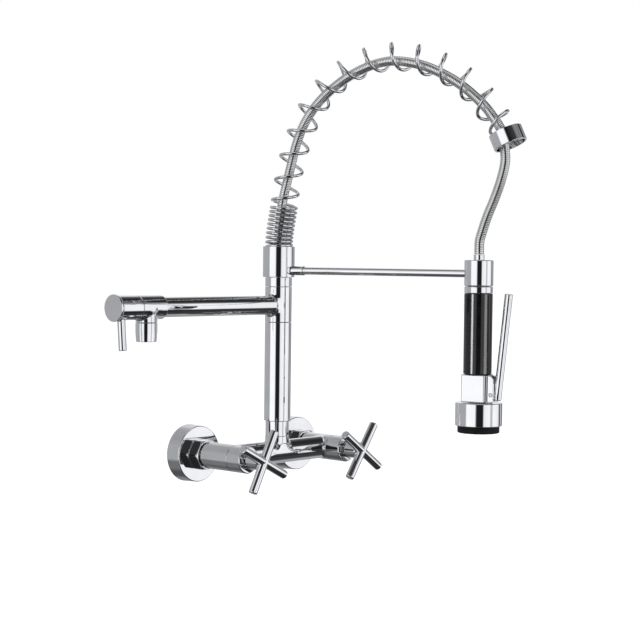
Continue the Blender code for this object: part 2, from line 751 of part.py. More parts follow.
# ---------------------------------------------------------------- bridge body and column
def bridge_body():
    """One casting: two valve barrels, the bar between them and the flared tee."""
    level = (0, -COLUMN_OUT, 0)
    straight = VALVE_X - BARREL_RADIUS
    end = VALVE_X - BARREL_RADIUS / 2
    flare = BAR_RADIUS + BAR_FLARE
    bar = [
        (0, end),
        (flare, end),
        (flare, straight - BAR_FLARE_RIM),
        (BAR_RADIUS, straight - BAR_FLARE_RIM - BAR_FLARE_LENGTH),
        (BAR_RADIUS, BAR_FLARE_RIM + BAR_FLARE_LENGTH - straight),
        (flare, BAR_FLARE_RIM - straight),
        (flare, -end),
        (0, -end),
    ]
    body = turned("bridge_body", bar, CHROME, ROOT, LARGE, level, (0, 90, 0))
    foot = TEE_TOP - TEE_LIP
    sections = [(NECK_RADIUS, NECK_RADIUS, TEE_TOP), (NECK_RADIUS, NECK_RADIUS, foot)]
    rows = 5
    for i in range(1, rows + 1):
        angle = math.pi / 2 * i / rows
        out = TEE_FILLET * (1 - math.cos(angle))
        sections.append((NECK_RADIUS + out, BAR_RADIUS - GAP / 3, foot - TEE_FILLET * math.sin(angle)))
    tee = loft("tee", sections, None, frame("tee_axis", ROOT, level), LARGE, True)
    join(body, tee)
    spigot = plug(NECK_THREAD_RADIUS, 0, TEE_TOP + NECK_THREAD_LENGTH)
    join(body, turned("spigot", spigot, None, ROOT, MEDIUM, level, cutter=True))
    for x in (-VALVE_X, VALVE_X):
        profile = plug(BARREL_RADIUS, BARREL_BACK_OUT, BARREL_FRONT_OUT, EDGE)
        join(body, turned("barrel", profile, None, ROOT, LARGE, (x, 0, 0), (90, 0, 0), True))
    bore = [
        (0, BARREL_FRONT_OUT + OVERRUN),
        (CARTRIDGE_RADIUS + GAP, BARREL_FRONT_OUT + OVERRUN),
        (CARTRIDGE_RADIUS + GAP, CARTRIDGE_BACK_OUT - GAP),
        (WATERWAY_RADIUS, CARTRIDGE_BACK_OUT - GAP),
        (WATERWAY_RADIUS, TAIL_FRONT_OUT + GAP),
        (TAIL_RADIUS + GAP, TAIL_FRONT_OUT + GAP),
        (TAIL_RADIUS + GAP, BARREL_BACK_OUT - OVERRUN),
        (0, BARREL_BACK_OUT - OVERRUN),
    ]
    for x in (-VALVE_X, VALVE_X):
        cut(body, turned("bore", bore, None, ROOT, MEDIUM, (x, 0, 0), (90, 0, 0), True))
    reach = VALVE_X - CARTRIDGE_RADIUS / 2
    drill(body, ROOT, WATERWAY_RADIUS, -reach, reach, SMALL, level, (0, 90, 0))
    top = TEE_TOP + NECK_THREAD_LENGTH + OVERRUN
    drill(body, ROOT, WATERWAY_RADIUS, 0, top, SMALL, level)


def neck_coupling(parent):
    profile = ring(NECK_RADIUS, NECK_THREAD_RADIUS + GAP, COUPLING_LOW, COUPLING_TOP, EDGE)
    turned("neck_coupling", profile, CHROME, parent, LARGE)


def riser(parent):
    """Column tube with the long spindle that the spout and the spring tower turn on."""
    root = TEE_TOP + NECK_THREAD_LENGTH + GAP
    profile = [
        (SPINDLE_RADIUS, SPINDLE_TOP),
        (SPINDLE_RADIUS, RISER_TOP),
        (COLUMN_RADIUS - EDGE, RISER_TOP),
        (COLUMN_RADIUS, RISER_TOP - EDGE),
        (COLUMN_RADIUS, RISER_LOW + EDGE),
        (COLUMN_RADIUS - EDGE, RISER_LOW),
        (NECK_THREAD_RADIUS, RISER_LOW),
        (NECK_THREAD_RADIUS, root),
        (WATERWAY_RADIUS, root),
        (WATERWAY_RADIUS, SPINDLE_TOP),
    ]
    column = turned("riser", profile, CHROME, parent, LARGE)
    port = (0, 0, SPOUT_HEIGHT)
    past = SPINDLE_RADIUS + OVERRUN
    drill(column, parent, SPINDLE_PORT_RADIUS, -past, past, SMALL, port, (0, 90, 0))


def swivel_ring(parent):
    profile = ring(
        COLUMN_RADIUS, SPINDLE_RADIUS + GAP, SWIVEL_RING_LOW, SWIVEL_RING_TOP, EDGE
    )
    turned("swivel_ring", profile, CHROME, parent, LARGE)


def spindle_bush(name, low, parent):
    profile = ring(BUSH_OUTER, SPINDLE_RADIUS + GAP, low, low + BUSH_LENGTH)
    turned(name, profile, WHITE_PLASTIC, parent, LARGE)


def spindle_seal(name, height, parent):
    """Rubber ring of round section between the spindle and the bore around it."""
    middle = (SPINDLE_RADIUS + SOCKET_BORE) / 2
    profile = []
    sides = 4
    for i in range(sides):
        angle = math.pi / 2 - 2 * math.pi * i / sides
        profile.append((middle + SEAL_RADIUS * math.cos(angle), height + SEAL_RADIUS * math.sin(angle)))
    turned(name, profile, RUBBER, parent, LARGE)


def column():
    axis = frame("column_axis", ROOT, (0, -COLUMN_OUT, 0))
    neck_coupling(axis)
    riser(axis)
    swivel_ring(axis)
    spindle_bush("spout_bush_lower", SLEEVE_LOW + GAP, axis)
    spindle_bush("spout_bush_upper", SLEEVE_TOP - GAP - BUSH_LENGTH, axis)
    spindle_seal("spout_seal_lower", SLEEVE_LOW + BUSH_LENGTH + SEAL_SETBACK, axis)
    spindle_seal("spout_seal_upper", SLEEVE_TOP - BUSH_LENGTH - SEAL_SETBACK, axis)
    spindle_bush("tower_bush", COLLAR_LOW + GAP, axis)
    spindle_seal("tower_seal", SPINDLE_TOP - SEAL_SETBACK, axis)
    return axis


# ---------------------------------------------------------------- spout
def spout_arm(swivel, along):
    """Sleeve and tube, brazed into one piece with a small fillet between them."""
    profile = ring(COLUMN_RADIUS, SOCKET_BORE, SLEEVE_LOW, SLEEVE_TOP, EDGE)
    spout = turned("spout_arm", profile, CHROME, swivel, LARGE)
    start = (COLUMN_RADIUS + SOCKET_BORE) / 2
    fillet = SPOUT_FILLET
    tube_profile = [
        (0, SPOUT_LENGTH),
        (SPOUT_RADIUS, SPOUT_LENGTH),
        (SPOUT_RADIUS, COLUMN_RADIUS + 2 * fillet),
        (SPOUT_RADIUS + 0.15 * fillet, COLUMN_RADIUS + fillet),
        (SPOUT_RADIUS + 0.45 * fillet, COLUMN_RADIUS),
        (SPOUT_RADIUS + 0.5 * fillet, COLUMN_RADIUS - SOFT_EDGE),
        (SPOUT_RADIUS, start),
        (0, start),
    ]
    join(spout, turned("tube", tube_profile, None, along, LARGE, cutter=True))
    bore = SPOUT_RADIUS - SPOUT_WALL
    drill(spout, along, bore, SOCKET_BORE, SPOUT_LENGTH + OVERRUN, MEDIUM)
    clear = plug(SOCKET_BORE, SLEEVE_LOW + EDGE, SLEEVE_TOP - EDGE)
    cut(spout, turned("bore", clear, None, swivel, LARGE, cutter=True))


def spout_head(swivel, along):
    """End valve body with its spigot in the tube and the outlet neck below."""
    spigot = SPOUT_RADIUS - SPOUT_WALL - GAP
    bore = CORE_RADIUS + GAP
    profile = [
        (0, HEAD_END),
        (SPOUT_HEAD_RADIUS - EDGE, HEAD_END),
        (SPOUT_HEAD_RADIUS, HEAD_END - EDGE),
        (SPOUT_HEAD_RADIUS, HEAD_START + SOFT_EDGE),
        (SPOUT_HEAD_RADIUS - SOFT_EDGE, HEAD_START),
        (spigot, HEAD_START),
        (spigot, HEAD_START - SPOUT_SPIGOT),
        (0, HEAD_START - SPOUT_SPIGOT),
    ]
    head = turned("spout_head", profile, CHROME, along, LARGE)
    spot = (OUTLET_REACH, 0, 0)
    thread = AERATOR_RADIUS - AERATOR_WALL - GAP
    neck = [
        (0, SPOUT_HEIGHT),
        (OUTLET_RADIUS, SPOUT_HEIGHT),
        (OUTLET_RADIUS, OUTLET_LOW),
        (thread, OUTLET_LOW),
        (thread, OUTLET_LOW - AERATOR_THREAD),
        (0, OUTLET_LOW - AERATOR_THREAD),
    ]
    join(head, turned("outlet", neck, None, swivel, MEDIUM, spot, cutter=True))
    seat = HEAD_END - CORE_LENGTH - 2 * GAP
    drill(head, along, bore, seat, HEAD_END + OVERRUN, MEDIUM)
    drill(head, along, CORE_PORT_RADIUS, HEAD_START - SPOUT_SPIGOT - OVERRUN, seat + OVERRUN)
    low = OUTLET_LOW - AERATOR_THREAD - OVERRUN
    drill(head, swivel, WATERWAY_RADIUS, low, SPOUT_HEIGHT - bore / 2, SMALL, spot)


def spout_valve_core(along):
    low = HEAD_END - CORE_LENGTH - GAP
    profile = ring(CORE_RADIUS, CAP_STEM_RADIUS + GAP, low, HEAD_END - GAP)
    turned("spout_valve_core", profile, BRASS, along, SMALL)


def aerator(swivel):
    spot = (OUTLET_REACH, 0, 0)
    top = OUTLET_LOW - GAP
    low = top - AERATOR_LENGTH
    bore = AERATOR_RADIUS - AERATOR_WALL
    taper = AERATOR_TAPER
    rim = bore - AERATOR_LIP
    floor = low + AERATOR_LIP
    housing = [
        (AERATOR_RADIUS - EDGE, top),
        (AERATOR_RADIUS, top - EDGE),
        (AERATOR_RADIUS, low + AERATOR_LENGTH / 2),
        (AERATOR_RADIUS - taper, low + EDGE),
        (AERATOR_RADIUS - taper - EDGE, low),
        (rim, low),
        (rim, floor),
        (bore, floor),
        (bore, top),
    ]
    turned("aerator_housing", housing, CHROME, swivel, LARGE, spot)
    thread_end = OUTLET_LOW - AERATOR_THREAD
    washer_low = thread_end - GAP - WASHER_THICKNESS
    washer = ring(bore - GAP, WATERWAY_RADIUS, washer_low, thread_end - GAP)
    turned("aerator_washer", washer, RUBBER, swivel, SMALL, spot)
    insert = plug(bore - GAP, floor + GAP, washer_low - GAP)
    screen = turned("aerator_insert", insert, WHITE_PLASTIC, swivel, SMALL, spot)
    jets = 6
    for i in range(jets):
        angle = 2 * math.pi * i / jets
        hole = (spot[0] + JET_CIRCLE * math.cos(angle), JET_CIRCLE * math.sin(angle), 0)
        drill(screen, swivel, JET_RADIUS, low, washer_low + OVERRUN, 6, hole)


def spout_valve(along):
    """The cap at the spout's end: turning it by its small lever opens the spout."""
    turn = frame("spout_valve_axis", along, rotation=(0, 0, CAP_LEVER_TURN))
    face = CAP_END
    rim = face - CAP_RIM_LENGTH
    profile = [
        (0, face),
        (CAP_RIM_RADIUS - EDGE, face),
        (CAP_RIM_RADIUS, face - EDGE),
        (CAP_RIM_RADIUS, rim),
        (CAP_RADIUS, rim - CAP_NECKING),
        (SPOUT_HEAD_RADIUS, CAP_START + GAP),
        (SPOUT_HEAD_RADIUS - GAP, CAP_START),
        (0, CAP_START),
    ]
    cap = turned("spout_valve_cap", profile, CHROME, turn, LARGE)
    stem_low = HEAD_END - CORE_LENGTH / 2
    stem_top = CAP_START + CAP_STEM_FIT
    drill(cap, turn, CAP_STEM_RADIUS + GAP, CAP_START - OVERRUN, stem_top + GAP)
    profile = plug(CAP_STEM_RADIUS, stem_low, stem_top, EDGE)
    turned("spout_valve_stem", profile, BRASS, turn, SMALL)
    root = CAP_LEVER_ROOT
    spot = (0, 0, CAP_END - CAP_LEVER_SETBACK)
    past = CAP_RIM_RADIUS + OVERRUN
    drill(cap, turn, CAP_LEVER_RADIUS + GAP, root - GAP, past, MEDIUM, spot, (0, 90, 0))
    profile = plug(CAP_LEVER_RADIUS, root, CAP_LEVER_REACH, EDGE)
    turned("spout_valve_lever", profile, CHROME, turn, MEDIUM, spot, (0, 90, 0))


def spout(column_axis):
    swivel = frame("spout_axis", column_axis, rotation=(0, 0, SPOUT_TURN))
    along = frame("spout_line", swivel, (0, 0, SPOUT_HEIGHT), (0, 90, 0))
    spout_arm(swivel, along)
    spout_head(swivel, along)
    spout_valve_core(along)
    aerator(swivel)
    spout_valve(along)


# ---------------------------------------------------------------- tower: collar, arm, spring, hose
def tower_collar(parent):
    """Turns on the spindle and carries the arm in its side and the spring in its top."""
    profile = [
        (COLLAR_RADIUS - EDGE, COLLAR_TOP),
        (COLLAR_RADIUS, COLLAR_TOP - EDGE),
        (COLLAR_RADIUS, COLLAR_LOW + EDGE),
        (COLLAR_RADIUS - EDGE, COLLAR_LOW),
        (SOCKET_BORE, COLLAR_LOW),
        (SOCKET_BORE, SPINDLE_TOP + GAP),
        (WATERWAY_RADIUS, SPINDLE_TOP + GAP),
        (WATERWAY_RADIUS, SPRING_SEAT),
        (RECESS_RADIUS, SPRING_SEAT),
        (RECESS_RADIUS, COLLAR_TOP),
    ]
    collar = turned("tower_collar", profile, CHROME, parent, LARGE)
    spot = (0, 0, ARM_HEIGHT)
    low = SOCKET_BORE + ARM_SOCKET_WALL
    past = COLLAR_RADIUS + OVERRUN
    drill(collar, parent, ARM_RADIUS + GAP, low, past, MEDIUM, spot, (0, 90, 0))
    height = (0, 0, ARM_HEIGHT + GRUB_RADIUS)
    drill(collar, parent, GRUB_RADIUS + GAP, SPINDLE_RADIUS, past, 8, height, (0, -90, 0))
    screw = plug(GRUB_RADIUS, SPINDLE_RADIUS + GAP, COLLAR_RADIUS - SOFT_EDGE)
    turned("collar_screw", screw, STEEL, parent, 8, height, (0, -90, 0))


def holder_arm(parent):
    spot = (0, 0, ARM_HEIGHT)
    root = SOCKET_BORE + ARM_SOCKET_WALL + GAP
    end = DOCK_FACE + ARM_TENON
    profile = plug(ARM_RADIUS, root, end, EDGE)
    turned("holder_arm", profile, CHROME, parent, MEDIUM, spot, (0, 90, 0))
    start = COLLAR_RADIUS + GAP
    sleeve = ring(
        ARM_SOCKET_RADIUS, ARM_RADIUS + GAP, start, start + ARM_SOCKET_LENGTH
    )
    turned("arm_sleeve", sleeve, CHROME, parent, MEDIUM, spot, (0, 90, 0))


def dock_ring(wand_axis, parent):
    profile = ring(DOCK_RADIUS, DOCK_BORE, DOCK_LOW, DOCK_TOP, SOFT_EDGE)
    dock = turned("dock_ring", profile, CHROME, wand_axis, LARGE)
    start = DOCK_FACE - OVERRUN
    end = DOCK_FACE + ARM_TENON + GAP
    drill(dock, parent, ARM_RADIUS + GAP, start, end, MEDIUM, (0, 0, ARM_HEIGHT), (0, 90, 0))


def hose_adapter(parent):
    top = GAP + ADAPTER_LENGTH
    profile = [
        (ADAPTER_RADIUS - ADAPTER_CONE, top),
        (ADAPTER_RADIUS, top - ADAPTER_CONE),
        (ADAPTER_RADIUS, GAP),
        (ADAPTER_BORE, GAP),
        (ADAPTER_BORE, top),
    ]
    turned("hose_adapter", profile, BRASS, parent, SMALL)


def spring(parent):
    points = spring_points()
    tube("arch_spring", points, WIRE_RADIUS, 1, CHROME, parent)
    print(f"arch_spring least gap to itself {least_gap(points, WIRE_RADIUS) * 1000:.2f} mm")


def hose(parent):
    """The hose lies inside the arch and hangs free from the end collar to the wand."""
    up = Vector((0, 1))
    leg = 2 * HOSE_RADIUS
    foot = Vector((0, GAP + ADAPTER_LENGTH + GAP))
    leave = Vector(DROP_ROUTE[0])
    down = (Vector(DROP_ROUTE[1]) - leave).normalized()
    knots = (foot + up * leg,) + HOSE_ROUTE + (leave - down * (GAP + leg),)
    arch = [foot] + smooth_route(knots, 0.0105, up, down) + [leave - down * GAP]
    tube("hose_arch", lift(arch), HOSE_RADIUS, 2, HOSE_STEEL, parent)
    end = Vector((ARM_REACH, FERRULE_TOP + GAP - SPRING_SEAT))
    knots = DROP_ROUTE[1:] + (end + up * leg,)
    drop = [leave] + smooth_route(knots, 0.0045, down, -up) + [end]
    tube("hose_drop", lift(drop), HOSE_RADIUS, 2, HOSE_STEEL, parent)


def end_collar(parent):
    """Ring that the far end of the spring seats in; the hose hangs out through it."""
    spot = (END_COLLAR_TOP.x, 0, END_COLLAR_TOP.y)
    axis = frame("end_collar_axis", parent, spot, (0, END_COLLAR_TILT, 0))
    low = -END_COLLAR_LENGTH
    seat = -SPRING_RECESS
    web = seat - END_COLLAR_WEB
    wide = END_COLLAR_RADIUS - END_COLLAR_WALL
    profile = [
        (END_COLLAR_RADIUS - EDGE, 0),
        (END_COLLAR_RADIUS, -EDGE),
        (END_COLLAR_RADIUS, low + EDGE),
        (END_COLLAR_RADIUS - EDGE, low),
        (wide, low),
        (wide, web),
        (END_COLLAR_BORE, web),
        (END_COLLAR_BORE, seat),
        (RECESS_RADIUS, seat),
        (RECESS_RADIUS, 0),
    ]
    turned("spring_end_collar", profile, CHROME, axis, LARGE)


# ---------------------------------------------------------------- wand
def wand_neck(parent):
    profile = [
        (NECK_FIT_RADIUS - NECK_BEVEL, NECK_TOP),
        (NECK_FIT_RADIUS, NECK_TOP - NECK_BEVEL),
        (NECK_FIT_RADIUS, NECK_FLANGE_TOP),
        (NECK_FLANGE_RADIUS - NECK_BEVEL / 2, NECK_FLANGE_TOP),
        (NECK_FLANGE_RADIUS, NECK_FLANGE_TOP - NECK_BEVEL),
        (NECK_FLANGE_RADIUS, NECK_FLANGE_LOW + EDGE),
        (NECK_FLANGE_RADIUS - EDGE, NECK_FLANGE_LOW),
        (NECK_BORE, NECK_FLANGE_LOW),
        (NECK_BORE, NECK_TOP),
    ]
    turned("wand_neck", profile, CHROME, parent, LARGE)
    ferrule = ring(FERRULE_RADIUS, FERRULE_BORE, FERRULE_LOW, FERRULE_TOP, EDGE)
    turned("hose_ferrule", ferrule, CHROME, parent, MEDIUM)


def grip(parent):
    profile = ring(GRIP_RADIUS, GRIP_RADIUS - GRIP_WALL, GRIP_LOW, GRIP_TOP, EDGE)
    turned("grip_sleeve", profile, BLACK_GLOSS, parent, LARGE)
    core = GRIP_RADIUS - GRIP_WALL - GAP
    turned("grip_core", ring(core, WATERWAY_RADIUS, GRIP_LOW, GRIP_TOP), BRASS, parent, SMALL)


def valve_block(parent):
    """Flat-sided block under the grip, with two ears for the lever and the plunger's hole."""
    half = BLOCK_WIDTH / 2
    low = (-BLOCK_FACE, -half, BLOCK_LOW)
    high = (BLOCK_FACE, half, BLOCK_TOP)
    block = box("valve_block", low, high, CHROME, parent, corner=BLOCK_CORNER)
    reach = BLOCK_FACE + EAR_REACH
    root = BLOCK_FACE - 2 * EAR_EDGE
    ear = (
        (root, BLOCK_LOW + EAR_EDGE),
        (reach, BLOCK_LOW + EAR_EDGE),
        (reach, BLOCK_TOP - 3 * EAR_EDGE),
        (reach - 2 * EAR_EDGE, BLOCK_TOP - EAR_EDGE),
        (root, BLOCK_TOP - EAR_EDGE),
    )
    for side in (-1, 1):
        inner = side * EAR_SLOT / 2
        outer = side * (EAR_SLOT / 2 + EAR_WALL)
        join(block, plate("ear", ear, inner, outer, None, parent, True))
    pin_x, pin_z = PIVOT_AT[0], BLOCK_LOW + PIVOT_AT[1]
    pin_at = (pin_x, 0, pin_z)
    drill(block, parent, PIVOT_RADIUS + GAP, -half, half, SMALL, pin_at, (90, 0, 0))
    drill(block, parent, WATERWAY_RADIUS, BLOCK_LOW - OVERRUN, BLOCK_TOP + OVERRUN)
    spot = (0, 0, PLUNGER_HEIGHT)
    past = BLOCK_FACE + OVERRUN
    drill(block, parent, PLUNGER_RADIUS + GAP, PLUNGER_RADIUS, past, SMALL, spot, (0, 90, 0))
    length = EAR_SLOT / 2 + EAR_WALL
    profile = plug(PIVOT_RADIUS, -length, length)
    turned("lever_pin", profile, STEEL, parent, SMALL, pin_at, (90, 0, 0))


def valve_plunger(parent):
    start = BLOCK_FACE + PLUNGER_TRAVEL + GAP
    end = start + PLUNGER_HEAD_LENGTH
    profile = [
        (0, end),
        (PLUNGER_HEAD_RADIUS, end),
        (PLUNGER_HEAD_RADIUS, start),
        (PLUNGER_RADIUS, start),
        (PLUNGER_RADIUS, PLUNGER_SEAT),
        (0, PLUNGER_SEAT),
    ]
    spot = (0, 0, PLUNGER_HEIGHT)
    turned("valve_plunger", profile, STEEL, parent, SMALL, spot, (0, 90, 0))
    return end


def trigger_lever(parent, plunger_end):
    """Round rod with a foot that turns on the pin between the ears and pushes the plunger."""
    pin_x, pin_z = PIVOT_AT[0], BLOCK_LOW + PIVOT_AT[1]
    foot_x, foot_z = LEVER_FOOT[0], BLOCK_LOW + LEVER_FOOT[1]
    tip_x, tip_z = LEVER_TIP[0], BLOCK_LOW + LEVER_TIP[1]
    nose = plunger_end + GAP
    nose_top = PLUNGER_HEIGHT + PLUNGER_HEAD_RADIUS
    outline = []
    for degrees in (150, 180, 210, 240, 270, 300):
        angle = math.radians(degrees)
        outline.append((pin_x + PIVOT_BOSS * math.cos(angle), pin_z + PIVOT_BOSS * math.sin(angle)))
    outline += [
        (foot_x - EDGE, foot_z + EDGE),
        (foot_x + LEVER_TOE, nose_top),
        (nose + EDGE, nose_top),
        (nose, nose_top - EDGE),
        (nose, PLUNGER_HEIGHT - PLUNGER_HEAD_RADIUS),
    ]
    half = LEVER_RADIUS - EDGE
    lever = plate("trigger_lever", outline, -half, half, CHROME, parent)
    length = math.hypot(tip_x - foot_x, tip_z - foot_z)
    lean = math.degrees(math.atan2(tip_x - foot_x, tip_z - foot_z))
    rod = [
        (0, length),
        (LEVER_RADIUS - SOFT_EDGE, length),
        (LEVER_RADIUS, length - SOFT_EDGE),
        (LEVER_RADIUS, SOFT_EDGE),
        (LEVER_RADIUS - SOFT_EDGE, 0),
        (0, 0),
    ]
    spot = (foot_x, 0, foot_z)
    join(lever, turned("rod", rod, None, parent, MEDIUM, spot, (0, lean, 0), True))
    past = half + OVERRUN
    drill(lever, parent, PIVOT_RADIUS + GAP, -past, past, SMALL, (pin_x, 0, pin_z), (90, 0, 0))


def spray_head(parent):
    axis = frame("head_axis", parent, (HEAD_OFFSET, 0, 0))
    shell = [
        (HEAD_RADIUS - SOFT_EDGE, HEAD_TOP),
        (HEAD_RADIUS, HEAD_TOP - SOFT_EDGE),
        (HEAD_RADIUS, HEAD_LOW + SOFT_EDGE),
        (HEAD_RADIUS - SOFT_EDGE, HEAD_LOW),
        (HEAD_BORE, HEAD_LOW),
        (HEAD_BORE, HEAD_TOP - HEAD_WALL),
        (WATERWAY_RADIUS, HEAD_TOP - HEAD_WALL),
        (WATERWAY_RADIUS, HEAD_TOP),
    ]
    turned("spray_head_shell", shell, CHROME, axis, 32)
    insert = HEAD_LOW + FACE_INSERT
    core = ring(FACE_RADIUS, FACE_BORE, insert + GAP, HEAD_TOP - HEAD_WALL - GAP)
    turned("spray_diverter", core, WHITE_PLASTIC, axis, SMALL)
    profile = [
        (0, insert),
        (FACE_RADIUS, insert),
        (FACE_RADIUS, FACE_LOW + FACE_RIM),
        (FACE_RADIUS - FACE_RIM, FACE_LOW),
        (FACE_RADIUS - 2 * FACE_RIM, FACE_LOW),
        (FACE_RADIUS - 3 * FACE_RIM, FACE_LOW + NOZZLE_HEIGHT),
        (0, FACE_LOW + NOZZLE_HEIGHT),
    ]
    face = turned("spray_face", profile, RUBBER, axis, 32)
    nozzles = bmesh.new()
    for count, radius in NOZZLE_RINGS:
        for i in range(count):
            angle = 2 * math.pi * i / count
            spot = (radius * math.cos(angle), radius * math.sin(angle), FACE_LOW + NOZZLE_HEIGHT)
            bmesh.ops.create_cone(
                nozzles,
                cap_ends=True,
                segments=5,
                radius1=NOZZLE_RADIUS * 0.7,
                radius2=NOZZLE_RADIUS,
                depth=2 * NOZZLE_HEIGHT,
                matrix=Matrix.Translation(spot),
            )
    mesh = bpy.data.meshes.new("nozzles")
    nozzles.to_mesh(mesh)
    nozzles.free()
    join(face, add_mesh("nozzles", mesh, None, axis, cutter=True))


def wand(tower_axis):
    axis = frame("wand_axis", tower_axis, (ARM_REACH, 0, 0))
    dock_ring(axis, tower_axis)
    wand_neck(axis)
    grip(axis)
    valve_block(axis)
    plunger_end = valve_plunger(axis)
    trigger_lever(axis, plunger_end)
    spray_head(axis)


def tower(column_axis):
    axis = frame("tower_axis", column_axis, rotation=(0, 0, TOWER_TURN))
    tower_collar(axis)
    holder_arm(axis)
    seat = frame("spring_seat", axis, (0, 0, SPRING_SEAT))
    hose_adapter(seat)
    spring(seat)
    hose(seat)
    end_collar(seat)
    wand(axis)


def shade():
    """Smooth shading on the rounds, with the edges between faces kept sharp."""
    for obj in PARTS.objects:
        if obj.type == "MESH":
            obj.data.shade_smooth()
            obj.data.set_sharp_from_angle(angle=math.radians(32))


clear_scene()
PARTS = new_collection("Bridge tap with spring arch")
CUTTERS = new_collection("Cutters")
CHROME = material("chrome", (0.86, 0.87, 0.88), 0.06, 1.0)
HOSE_STEEL = material("hose steel", (0.62, 0.62, 0.61), 0.30, 1.0)
STEEL = material("screw steel", (0.45, 0.45, 0.46), 0.35, 1.0)
BRASS = material("brass", (0.78, 0.60, 0.30), 0.30, 1.0)
RUBBER = material("black rubber", (0.03, 0.03, 0.03), 0.55, 0.0)
BLACK_GLOSS = material("black gloss grip", (0.02, 0.02, 0.025), 0.15, 0.0)
WHITE_PLASTIC = material("white plastic", (0.85, 0.85, 0.83), 0.4, 0.0)
ROOT = frame("wall_origin", None)
valve("left", -VALVE_X, LEFT_CROSS_TURN)
valve("right", VALVE_X, RIGHT_CROSS_TURN)
bridge_body()
column_line = column()
spout(column_line)
tower(column_line)
shade()
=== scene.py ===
"""Looks of the bridge tap with a spring arch: smooth chrome pieces over the frame, the spring,
the ribbed hose, studio light and the camera. Metres, +Z up, the wall is the plane y = 0.
"""

import json
import math

import bmesh
import bpy
import numpy as np
from mathutils import Matrix, Vector


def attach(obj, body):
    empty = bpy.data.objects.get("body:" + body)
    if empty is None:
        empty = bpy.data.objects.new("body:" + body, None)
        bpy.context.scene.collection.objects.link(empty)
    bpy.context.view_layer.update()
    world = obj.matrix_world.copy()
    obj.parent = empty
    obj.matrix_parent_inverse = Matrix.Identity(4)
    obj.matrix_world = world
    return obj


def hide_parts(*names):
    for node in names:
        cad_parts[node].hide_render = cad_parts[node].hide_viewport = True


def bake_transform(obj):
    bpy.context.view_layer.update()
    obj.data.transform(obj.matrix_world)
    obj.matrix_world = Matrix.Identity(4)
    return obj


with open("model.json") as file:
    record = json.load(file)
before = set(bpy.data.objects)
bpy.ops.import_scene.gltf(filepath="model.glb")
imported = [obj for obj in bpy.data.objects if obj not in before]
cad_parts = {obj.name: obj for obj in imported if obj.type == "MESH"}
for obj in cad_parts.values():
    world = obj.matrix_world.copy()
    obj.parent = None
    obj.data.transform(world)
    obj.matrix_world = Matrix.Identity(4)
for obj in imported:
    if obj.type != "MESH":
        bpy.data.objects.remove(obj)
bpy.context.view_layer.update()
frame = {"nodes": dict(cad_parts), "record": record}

# ---- sizes, as in the part's source
# Heights are above the inlets' axis. Places along a valve are from the wall, those along the spout
# and the arm from the column's axis. A cut runs RUN_OUT past the face it opens.
GAP = 0.0003
RUN_OUT = 0.002
WATERWAY_RADIUS = 0.0060
SCREW_BORE = 0.0021

VALVE_X = 0.075
FLANGE_RADIUS = 0.0303
FLANGE_TAPER = 0.0009
FLANGE_DEPTH = 0.0174
FLANGE_WALL = 0.0015
FLANGE_BORE = 0.0123
NUT_FLATS = 0.030
NUT_BACK = 0.0177
NUT_FRONT = 0.0312
NUT_LIP = 0.0040
NUT_BORE = 0.0134
NUT_REACH = 0.0175
TAIL_BORE = 0.0099
TAIL_THREAD = 0.0080
BARREL_RADIUS = 0.0139
BARREL_BACK_OUT = 0.0335
BARREL_FRONT_OUT = 0.0720
CARTRIDGE_BORE = 0.0103
CARTRIDGE_SEAT = 0.0575
BONNET_RADIUS = 0.0140
BONNET_BACK = 0.0723
BONNET_WEB = 0.0880
BONNET_FRONT = 0.0912
STEM_BORE = 0.0043
STEM_SEAT = 0.1080
HUB_RADIUS = 0.0088
HUB_BACK = 0.0918
HUB_CONE = 0.1098
HUB_FRONT = 0.1133
GRUB_OUT = 0.0978
CROSS_OUT = 0.1128
CROSS_REACH = 0.034
CROSS_BAR_RADIUS = 0.0047
CROSS_TURN = {"left": 63, "right": 55}

COLUMN_OUT = 0.0580
BAR_RADIUS = 0.0122
BAR_REACH = 0.0700
TEE_RADIUS = 0.0120
TEE_FILLET = 0.0160
TEE_SPREAD = 0.8
TEE_TOP = 0.0172
NECK_LIP = 0.0005
NECK_LIP_LOW = 0.010
NECK_RADIUS = 0.0125
COUPLING_BORE = 0.0103
COUPLING_TOP = 0.0335
COLUMN_RADIUS = 0.0142
RISER_TOP = 0.1385
SPINDLE_RADIUS = 0.0090
SPINDLE_TOP = 0.2117
BUSH_BORE = 0.0106
BUSH_SEAT = 0.2120
SLEEVE_TOP = 0.1763
SWIVEL_RING_TOP = 0.1862

SPOUT_HEIGHT = 0.1567
SPOUT_RADIUS = 0.0101
SPOUT_BORE = 0.0083
SPOUT_BORE_START = 0.012
SPOUT_LENGTH = 0.1672
HEAD_RADIUS = 0.0120
HEAD_END = 0.1985
CORE_BORE = 0.0085
CORE_SEAT = 0.1834
OUTLET_REACH = 0.1854
OUTLET_RADIUS = 0.0108
OUTLET_LOW = 0.1420
AERATOR_RADIUS = 0.0109
AERATOR_FOOT = 0.0102
AERATOR_LENGTH = 0.0187
AERATOR_TAPER = 0.0094
AERATOR_BORE = 0.0092
AERATOR_LIP = 0.0012
AERATOR_LIP_BORE = 0.0080
CAP_END = 0.2281
CAP_RIM_RADIUS = 0.0133
CAP_RIM_LENGTH = 0.0016
CAP_RADIUS = 0.0121
CAP_NECK_BACK = 0.0038
CAP_LEVER_RADIUS = 0.0040
CAP_LEVER_REACH = 0.0417
CAP_LEVER_ROOT = 0.0070
CAP_LEVER_SETBACK = 0.0095
CAP_LEVER_TURN = 5

